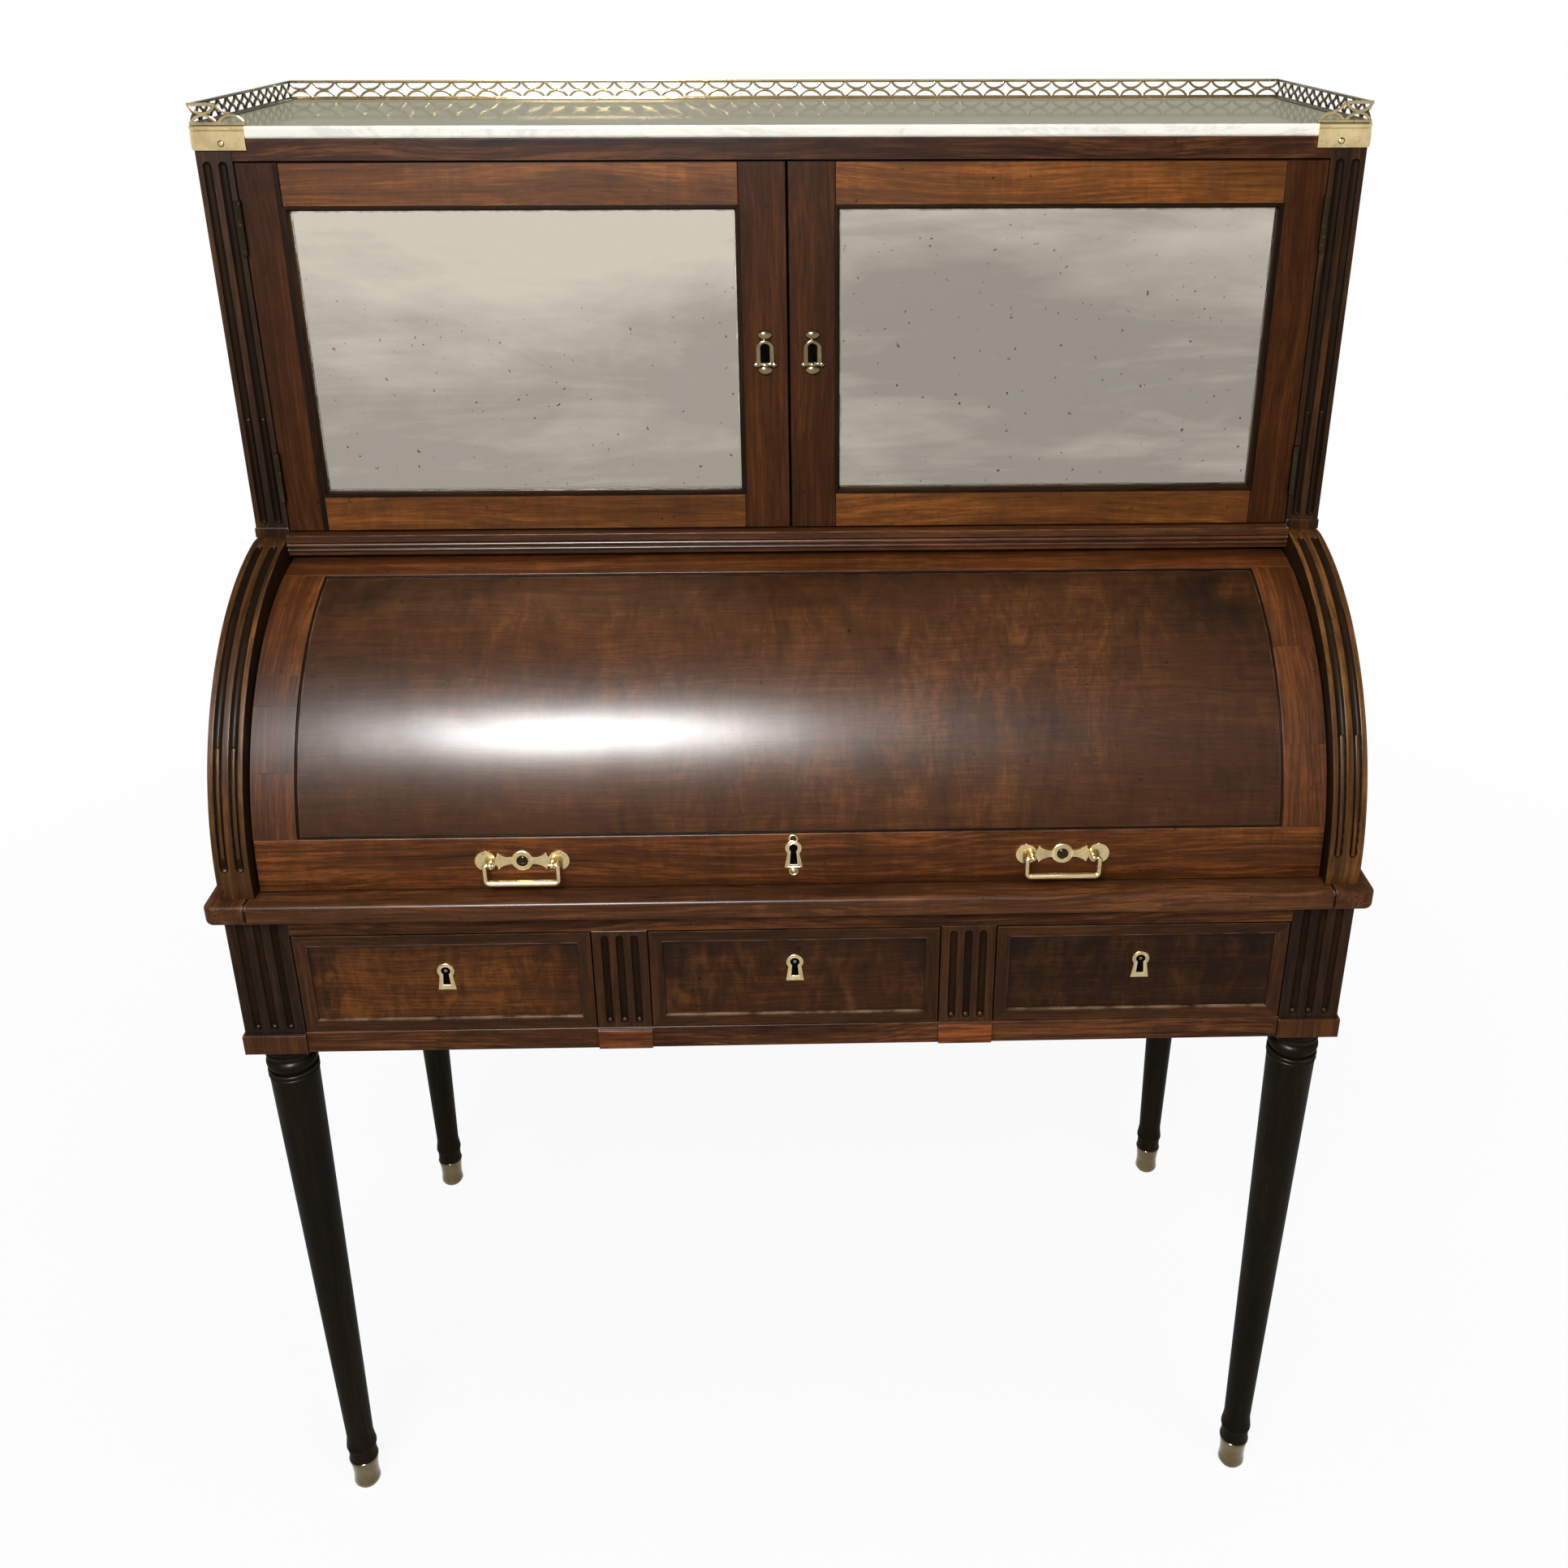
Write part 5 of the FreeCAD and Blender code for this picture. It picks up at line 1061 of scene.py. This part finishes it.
# each boss: place across and up from the plate's top or foot, half width, half height, rise
doorKey = {
    "thick": 0.0022, "half": 0.0083, "opening": 0.0038, "top": 0.0107, "foot": 0.0108, "plateNear": 0.040,
    "face": -0.022, "faceSlack": 0.0002, "middle": 1.1795, "shortest": 0.0012, "flare": 1.03,
    "outerLow": 0.003, "innerUp": 0.0012, "backHalf": 0.0055, "backHigh": 0.0050,
    "knob": (0.0, 0.0038, 0.0067, 0.0048, 0.0030),
    "feet": ((-0.0080, -0.0014, 0.0031, 0.0030, 0.0024), (0.0080, -0.0014, 0.0031, 0.0030, 0.0024),
             (0.0, -0.0016, 0.0040, 0.0026, 0.0026), (0.0, -0.0064, 0.0066, 0.0048, 0.0028)),
}


def makeDoorFittings(side):
    d, node, z = doorKey, "door_%s_fittings" % side, doorKey["middle"]
    isPlate = lambda co: abs(co.x) < d["plateNear"] and co.y < d["face"] + d["faceSlack"]
    spots = [vert.co.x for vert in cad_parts[node].data.vertices if isPlate(vert.co)]
    x = (min(spots) + max(spots)) / 2
    place = lambda a, b, height: Vector((a, d["face"] - height, b))
    grain, stock = alongAxis("x", node), newStock()
    addShape(stock, cadCopy(node, fittings["edge"], d["shortest"], lambda co: not isPlate(co)), grain, 1)
    arch, foot = z + d["top"] - d["half"], z - d["foot"]
    outer = keyOutline(x, arch, d["half"], d["half"], d["half"] * d["flare"], foot - d["outerLow"])
    inner = keyOutline(x, arch, d["opening"], d["opening"], d["opening"], foot + d["innerUp"])
    addShape(stock, rimmed(outer, inner, rows(roundRims, d["thick"]), place), grain, 0)
    addShape(stock, backing(x, d["backHalf"], d["face"], foot, arch + d["backHigh"]), grain, 2)
    for start, bosses in ((z + d["top"], (d["knob"],)), (foot, d["feet"])):
        for across, up, wide, high, rise in bosses:
            addShape(stock, domed((x + across, start + up), (wide, high), rise, place), grain, 0)
    finishes = ["dullBrass"] + fittings["finishes"][1:]
    setPiece("doorFittings" + side.title(), stock, finishes, "door_" + side, node, angle=50)


for side in twoSides:
    makeDoorFittings(side)

# neck: places along and across; ring and well: share of the way in, height; post: how far out, radius
handle = {
    "x": 0.234, "z": 0.7846, "pivotY": -0.2357, "faceY": -0.2273, "span": 0.0315, "plate": 0.0015,
    "discPlate": 0.0016, "sunk": 0.0006, "edge": 0.00025, "ringReach": 0.0094, "hole": 0.0049, "boss": 0.0007,
    "disc": 0.0092, "peak": 0.0011, "postIn": 0.005, "pinIn": 0.0024, "pinLong": 0.0050, "drop": 0.018,
    "pin": 0.0013, "wire": 0.0023, "bar": 0.0031, "pinBow": 0.0022, "barBow": 0.0036,
    "neck": ((0.0070, 0.0030), (0.0098, 0.0031), (0.0125, 0.0033), (0.0160, 0.0045), (0.0188, 0.0061),
             (0.0208, 0.0082), (0.0216, 0.0054), (0.0227, 0.0038)),
    "ring": ((0.0, -0.0006), (0.0, 0.0012), (0.06, 0.0015), (0.2, 0.0017), (0.8, 0.0017), (0.95, 0.0015),
             (1.0, 0.0011), (1.0, -0.0006)),
    "well": ((0.0, 0.0010), (0.55, 0.0006), (0.55, -0.0006), (0.0, -0.0006)),
    "post": ((-0.0005, 0.0034), (0.0014, 0.0034), (0.0020, 0.0029), (0.0034, 0.0024), (0.0050, 0.0022),
             (0.0072, 0.0026), (0.0088, 0.0027), (0.0100, 0.0021), (0.0106, 0.0009)),
}


def makeHandles():
    # each plate is a pierced ring, two cusped necks and two peaked discs
    h, stock = handle, newStock()
    arc, hole = fallArc(h["z"]), h["hole"]
    outs, radii = zip(*h["post"])
    neck = [*h["neck"], *((x, -z) for x, z in reversed(h["neck"]))]
    disc = []
    for turn in sorted((*range(0, 360, 10), 85, 95, 265, 275)):
        reach = h["disc"] + (h["peak"] if turn in (90, 270) else 0.0)
        disc.append((h["span"] + reach * math.cos(math.radians(turn)), reach * math.sin(math.radians(turn))))
    for sign in (-1, 1):
        x = sign * h["x"]
        grain = alongAxis("x", "handlePlate%d" % sign)
        around = lambda reach: ringOutline((x, arc), reach, reach, 40)
        addShape(stock, rimmed(around(h["ringReach"]), around(hole), h["ring"], onFall), grain, 0)
        addShape(stock, rimmed(around(hole * 1.01), around(hole * 0.5), h["well"], onFall), grain, 1)
        addShape(stock, domed((x, arc), (hole * 0.66,) * 2, h["boss"], onFall), grain, 1)
        for end in (-1, 1):
            for shape, proud in ((neck, h["plate"]), (disc, h["discPlate"])):
                outline = [(x + end * a, arc + b) for a, b in shape]
                addShape(stock, prism("y", outline, -proud, h["sunk"], h["edge"], 2), grain, 0, bendFall)
            foot = x + end * (h["span"] - h["postIn"])
            post = [Vector((foot, h["faceY"] - out, h["z"])) for out in outs]
            addShape(stock, tube(post, radii, Vector((1, 0, 0)), 18), grain, 0)
    setPiece("handlePlates", stock, fittings["finishes"], "fall", "handle_plates", angle=40)


def turned(corner, before, after, reach, count=6):
    # the arc that rounds a square corner of a flat path
    a, b = (before - corner).normalized() * reach, (after - corner).normalized() * reach
    turns = [math.pi / 2 * k / count for k in range(count + 1)]
    return [corner + a + b - b * math.cos(t) - a * math.sin(t) for t in turns]


def makeBail(side):
    h = handle
    at = lambda x, z: Vector((handed[side] * h["x"] + x, h["pivotY"], h["z"] + z))
    inner, outer, drop = h["span"] - h["postIn"] - h["pinIn"], h["span"], -h["drop"]
    ends = [at(-inner, 0), at(-outer, 0), at(-outer, drop), at(outer, drop), at(outer, 0), at(inner, 0)]
    path, radii = [ends[0], at(-inner - h["pinLong"], 0)], [h["pin"], h["pin"]]
    pin, thin, bar = h["pin"] * 1.15, h["wire"], h["bar"]
    bows = ((h["pinBow"], pin, thin), (h["barBow"], thin, bar), (h["barBow"], bar, thin),
            (h["pinBow"], thin, pin))
    for i, (reach, start, stop) in enumerate(bows, 1):
        bow = turned(ends[i], ends[i - 1], ends[i + 1], reach)
        path += bow
        radii += [start + (stop - start) * k / (len(bow) - 1) for k in range(len(bow))]
    path += [at(inner + h["pinLong"], 0), ends[5]]
    radii += [h["pin"], h["pin"]]
    stock = newStock()
    addShape(stock, tube(path, radii, Vector((0, 1, 0)), 18), alongAxis("x", "bail" + side), 0)
    setPiece("bail" + side.title(), stock, ["agedBrass"], "bail_" + side, "bail_" + side, angle=60)


makeHandles()
for side in twoSides:
    makeBail(side)

# cast and turned brass: node, piece, finish, edge
for node, name, finish, edge in (("leg_shoes", "legShoes", "shoeBrass", 0.0),
                                 ("hinge_leaves", "hinges", "darkBrass", 0.0003)):
    copyBoard(node, name, "case", "x", [finish], edge, angle=38, shortest=0.0012)

gallery = {
    "pitch": 0.023, "high": 0.018, "strap": 0.0022, "deep": 0.0018, "rail": 0.0026, "band": 0.0028,
    "soft": 0.0004, "foot": 1.3715, "marbleX": 0.4955, "marbleY": -0.0235, "rearY": 0.2488, "flankX": 0.4933,
    "frontY": -0.0213, "flangeWide": 0.0044, "flangeHigh": 0.0014, "flangeEdge": 0.0003, "rearCount": 43,
    "flankCount": 12,
}


def galleryTree():
    # arches below, arches upside down above, both carried along a run between a foot band and a rail
    tree = bpy.data.node_groups.new("galleryRun", "GeometryNodeTree")
    t, sockets = nodeBench(tree), {}
    kinds = {**dict.fromkeys(("Pitch", "High", "Strap", "Deep", "Rail", "Band"), "Float"),
             **dict.fromkeys(("Lower", "Upper", "Steps"), "Int"), "Finish": "Material"}
    tree.interface.new_socket("Geometry", in_out="INPUT", socket_type="NodeSocketGeometry")
    for label, kind in kinds.items():
        socket = tree.interface.new_socket(label, in_out="INPUT", socket_type="NodeSocket" + kind)
        sockets[label] = socket.identifier
    tree.interface.new_socket("Geometry", in_out="OUTPUT", socket_type="NodeSocketGeometry")
    given, made = t.wires(t.add("NodeGroupInput")), t.add("NodeGroupOutput")
    pitch, strap, deep, rail, band = (given[label] for label in ("Pitch", "Strap", "Deep", "Rail", "Band"))

    def at(x=0.0, z=0.0):
        return t.put("ShaderNodeCombineXYZ", {0: x, 2: z})

    def swept(curve, wide, thick):
        bar = t.put("GeometryNodeCurvePrimitiveQuadrilateral", {"Width": thick, "Height": wide})
        given = {"Curve": bar, "Count": 2, "Radius": gallery["soft"]}
        soft = t.put("GeometryNodeFilletCurve", given, mode="POLY")
        return t.put("GeometryNodeCurveToMesh", {"Curve": curve, "Profile Curve": soft, "Fill Caps": True})

    def arch(foot, top, share):
        points = {"Start": at(inset, foot), "Middle": at(half, top), "End": at(last, foot), "Resolution": 17}
        curve = t.put("GeometryNodeCurveArc", points, mode="POINTS")
        part = t.put("GeometryNodeTrimCurve", {"Curve": curve, 2: 0.0, 3: share}, mode="FACTOR")
        return swept(part, strap, deep)

    def repeated(unit, count, first):
        steps = {"Count": count, "Start Location": first, "Offset": at(pitch)}
        line = t.put("GeometryNodeMeshLine", steps, mode="OFFSET")
        return t.put("GeometryNodeInstanceOnPoints", {"Points": line, "Instance": unit})

    def bar(length, height, wide):
        ends = {"Start": at(0.0, height), "End": at(length, height)}
        return swept(t.put("GeometryNodeCurvePrimitiveLine", ends, mode="POINTS"), wide, deep * 1.35)

    half, inset, lap = pitch * 0.5, strap * 0.35, strap * 0.30
    last = pitch - inset
    low, high = band * 0.6, given["High"] - rail * 0.7
    middle = (low + high) * 0.5
    under, over = middle - lap, middle + lap
    railLong, bandLong = given["Upper"] * pitch, given["Lower"] * pitch
    join = t.add("GeometryNodeJoinGeometry")
    for part in (repeated(arch(low, under, 1.0), given["Lower"], at()),
                 repeated(arch(high, over, 1.0), given["Upper"], at()),
                 repeated(arch(high, over, 0.5), given["Steps"], at(railLong)),
                 bar(bandLong, band * 0.5, band), bar(railLong, given["High"] - rail * 0.5, rail)):
        t.fill(join, {0: part})
    real = t.put("GeometryNodeRealizeInstances", {0: wire(t, join.outputs[0])})
    t.fill(made, {0: t.put("GeometryNodeSetMaterial", {"Geometry": real, "Material": given["Finish"]})})
    return tree, sockets


def galleryRun(tree, sockets, origin, along, **values):
    # one straight run, baked and turned so that its length follows a direction
    piece = newPiece("galleryRun", bpy.data.meshes.new("galleryRun"))
    run = piece.modifiers.new("run", "NODES")
    run.node_group = tree
    sizes = {key.title(): gallery[key] for key in ("pitch", "high", "strap", "deep", "rail", "band")}
    for label, value in {**sizes, "Steps": 0, "Finish": bpy.data.materials["agedBrass"], **values}.items():
        run[sockets[label]] = value
    bake(piece)
    mesh, bm = piece.data, bmesh.new()
    bm.from_mesh(mesh)
    bmesh.ops.remove_doubles(bm, verts=bm.verts, dist=1e-7)
    bpy.data.objects.remove(piece)
    bpy.data.meshes.remove(mesh)
    side = Vector((-along[1], along[0], 0))
    for vert in bm.verts:
        vert.co = Vector(origin) + Vector(along) * vert.co.x + side * vert.co.y + Vector((0, 0, vert.co.z))
    bmesh.ops.recalc_face_normals(bm, faces=bm.faces)
    bm.normal_update()
    return bm


# the profile is in millimetres: how far out and how far up
corner = {
    "foot": 1.352, "wide": 0.0455, "deep": 0.050, "round": 0.006, "screwIn": 0.0255, "screwUp": 1.3575,
    "screw": 0.0022, "screwRise": 0.0006, "screwFace": 0.00155,
    "profile": ((-1.4, 0.0), (0.9, 0.0), (1.30, 0.5), (1.50, 2.5), (1.60, 6.0), (1.50, 10.0), (1.25, 13.6),
                (1.10, 15.3), (0.70, 15.6), (0.70, 16.2), (1.25, 16.5), (1.50, 17.2), (1.50, 18.5),
                (1.2, 19.4), (-1.4, 19.4)),
    "screwRim": ((0.0, -0.0006), (0.0, 0.00012), (1.0, 0.00012), (1.0, -0.0006)),
}


def cornerPlate(stock, sign):
    # a moulded plate wrapped round a front corner of the marble, with a bead along its top
    c, x1, y1, r = corner, gallery["marbleX"], gallery["marbleY"], corner["round"]
    path = [((x1 - c["wide"], y1), (0, -1)), ((x1 - r, y1), (0, -1))]
    for k in range(1, 9):
        out, back = math.sin(math.pi / 2 * k / 8), math.cos(math.pi / 2 * k / 8)
        path.append(((x1 - r + r * out, y1 + r - r * back), (out, -back)))
    path.append(((x1, y1 + c["deep"]), (1, 0)))
    bm, mm = bmesh.new(), 0.001
    rings = [[bm.verts.new((sign * (px + nx * out * mm), py + ny * out * mm, c["foot"] + up * mm))
              for out, up in c["profile"]] for (px, py), (nx, ny) in path]
    grain = alongAxis("x", "cornerPlate")
    addShape(stock, skin(bm, rings, caps=True), grain, 3)
    face = lambda x, z, height: Vector((x, y1 - c["screwFace"] - height, z))
    spot = (sign * (x1 - c["screwIn"]), c["screwUp"])
    outer, inner = (ringOutline(spot, c["screw"] * share, c["screw"] * share, 28) for share in (1.22, 0.9))
    # a ring of painted shadow round the screw head
    addShape(stock, rimmed(outer, inner, c["screwRim"], face), grain, 2)
    addShape(stock, domed(spot, (c["screw"],) * 2, c["screwRise"], face), grain, 3)


def makeGallery():
    g, grain, stock = gallery, alongAxis("x", "gallery"), newStock()
    kit = galleryTree()
    rear, flank, foot = g["rearCount"], g["flankCount"], g["foot"]
    reach, top, soft = g["pitch"] * rear / 2, g["foot"] + g["flangeHigh"], g["flangeEdge"]
    run = galleryRun(*kit, (-reach, g["rearY"], foot), (1, 0, 0), Lower=rear, Upper=rear)
    addShape(stock, run, grain, 0)
    for sign in (-1, 1):
        # the inner side of a flank is painted in shade
        inside = lambda face: 1 if face.normal.x * sign < 0.25 and abs(face.normal.z) < 0.8 else 0
        run = galleryRun(*kit, (sign * g["flankX"], g["frontY"], foot), (0, 1, 0), Lower=flank, Upper=flank,
                         Pitch=(g["rearY"] - g["frontY"]) / flank)
        addShape(stock, run, grain, inside)
        run = galleryRun(*kit, (sign * reach, g["frontY"], foot), (-sign, 0, 0), Lower=2, Upper=1, Steps=1)
        addShape(stock, run, grain, 0)
        x0, x1 = sorted((sign * g["flankX"], sign * (g["flankX"] - g["flangeWide"])))
        addShape(stock, slab("y", (x0, g["frontY"], foot), (x1, g["rearY"], top), soft), grain, 1)
        cornerPlate(stock, sign)
    flange = slab("x", (-reach, g["rearY"] - g["flangeWide"], foot), (reach, g["rearY"], top), soft)
    addShape(stock, flange, grain, 0)
    finishes = ["galleryBrass", "flankBrass", "lockShadow", "cornerBrass"]
    setPiece("galleryAndCorners", stock, finishes, "case", "gallery", angle=40)


makeGallery()
copyBoard("marble_top", "marbleSlab", "case", "x", ["greyVeinedMarble"], 0.0012)
print("brass and marble made")

# nodes kept as the CAD has them, by finish
kept = {
    "tooledLeather": ("writing_leather",), "turnedSteel": ("pivot_pins",),
    "oakBoardsDeep": ("runner_board", "fall_sectors", *("drawer_%s_box" % side for side in threeSides)),
    "oakBoardsAcross": ("slide_bed", "cabinet_floor", "cabinet_shelf",
                        *("door_%s_backing" % side for side in twoSides)),
    "oakPlanks": ("case_back", "cabinet_back"),
}
for finish, nodes in kept.items():
    for node in nodes:
        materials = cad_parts[node].data.materials
        materials.clear()
        materials.append(bpy.data.materials[finish])
print("kept nodes finished")

studio = {
    "floorHalf": 14.0, "floorDrop": 0.0005, "floorDark": (0.84, 0.84, 0.83, 1),
    "floorPale": (0.88, 0.88, 0.87, 1), "floorRough": 0.9, "floorNear": 0.7, "floorFar": 2.2,
    "floorLeast": 0.90,
    "worldLight": 0.40, "worldTint": (1.0, 0.99, 0.97, 1), "ceiling": 0.25,
    "camera": (0.01077, -1.3437, 1.49203), "pitch": 23.43, "yaw": 1.43, "lens": 34.551, "sensor": 36.0,
    "shiftX": -0.0345, "shiftY": -0.1048,
}


def makeFloor():
    # pale and matt, white to the eye and whiter away from the desk
    s = studio
    t, shader, own = startFinish("paleFloor")
    t.fill(shader, {"Base Color": t.blend(t.clouds(own, 3.0, 4.0), s["floorDark"], s["floorPale"]),
                    "Roughness": s["floorRough"], "Specular IOR Level": 0.0})
    glow = t.put("ShaderNodeEmission", {"Color": (1, 1, 1, 1)})
    far = t.put("ShaderNodeVectorMath", {0: own}, "Value", operation="LENGTH")
    share = t.shownRays() * t.span(far, s["floorNear"], s["floorFar"], s["floorLeast"], 1.0)
    mixed = t.put("ShaderNodeMixShader", {0: share, 1: wire(t, shader.outputs[0]), 2: glow})
    t.fill(t.tree.nodes["Material Output"], {0: mixed})
    bm, mesh = bmesh.new(), bpy.data.meshes.new("studioFloor")
    bmesh.ops.create_grid(bm, x_segments=24, y_segments=24, size=s["floorHalf"])
    bm.to_mesh(mesh)
    bm.free()
    mesh.materials.append(bpy.data.materials["paleFloor"])
    floor = newPiece("studioFloor", mesh)
    floor.location.z = -s["floorDrop"]


def makeWorld():
    # white walls and a dimmer ceiling to the eye and in polish, an even light on everything
    world = bpy.data.worlds.new("studio")
    bpy.context.scene.world = world
    world.use_nodes = True
    t = nodeBench(world.node_tree)
    up = t.split(t.put("ShaderNodeTexCoord", out="Generated"))[2]
    walls = t.blend(t.span(up, 0.05, 0.55, 1.0, studio["ceiling"]), (0, 0, 0, 1), (1, 1, 1, 1))
    seen = t.put("ShaderNodeBackground", {"Color": walls})
    lit = t.put("ShaderNodeBackground", {"Color": studio["worldTint"], "Strength": studio["worldLight"]})
    mixed = t.put("ShaderNodeMixShader", {0: t.shownRays(), 1: lit, 2: seen})
    t.fill(t.add("ShaderNodeOutputWorld"), {0: mixed})


# name, place, aim, width, height, power, lights the wood, shows in the polish
lamps = (
    ("softKey", (-0.6, -1.9, 2.5), (0, -0.1, 0.9), 1.1, 0.8, 44.0, True, False),
    ("softFill", (1.9, -2.2, 1.9), (0, 0, 0.8), 1.8, 1.4, 22.0, True, False),
    ("overhead", (0.2, 0.1, 3.3), (0, 0, 0.9), 2.4, 1.6, 26.0, True, False),
    ("ceilingLamp", (-0.41, -1.42, 1.88), (-0.18, -0.19, 0.89), 0.30, 0.34, 330.0, False, True),
)


def makeLights():
    for name, place, aim, wide, tall, power, lights, gleams in lamps:
        light = bpy.data.lights.new(name, "AREA")
        light.shape = "RECTANGLE"
        light.size, light.size_y, light.energy = wide, tall, power
        item = newPiece(name, light)
        item.location = place
        item.rotation_euler = (Vector(aim) - Vector(place)).to_track_quat("-Z", "Y").to_euler()
        item.visible_diffuse, item.visible_glossy, item.visible_camera = lights, gleams, False


def makeCamera():
    data = bpy.data.cameras.new("photoCamera")
    data.sensor_width, data.lens, data.clip_start = studio["sensor"], studio["lens"], 0.01
    data.shift_x, data.shift_y = studio["shiftX"], studio["shiftY"]
    item = newPiece("photoCamera", data)
    item.location = studio["camera"]
    item.rotation_euler = (math.radians(90 - studio["pitch"]), 0.0, -math.radians(studio["yaw"]))
    bpy.context.scene.camera = item


makeFloor()
makeWorld()
makeLights()
makeCamera()
bpy.context.scene.view_settings.view_transform = "Standard"
print("studio made")
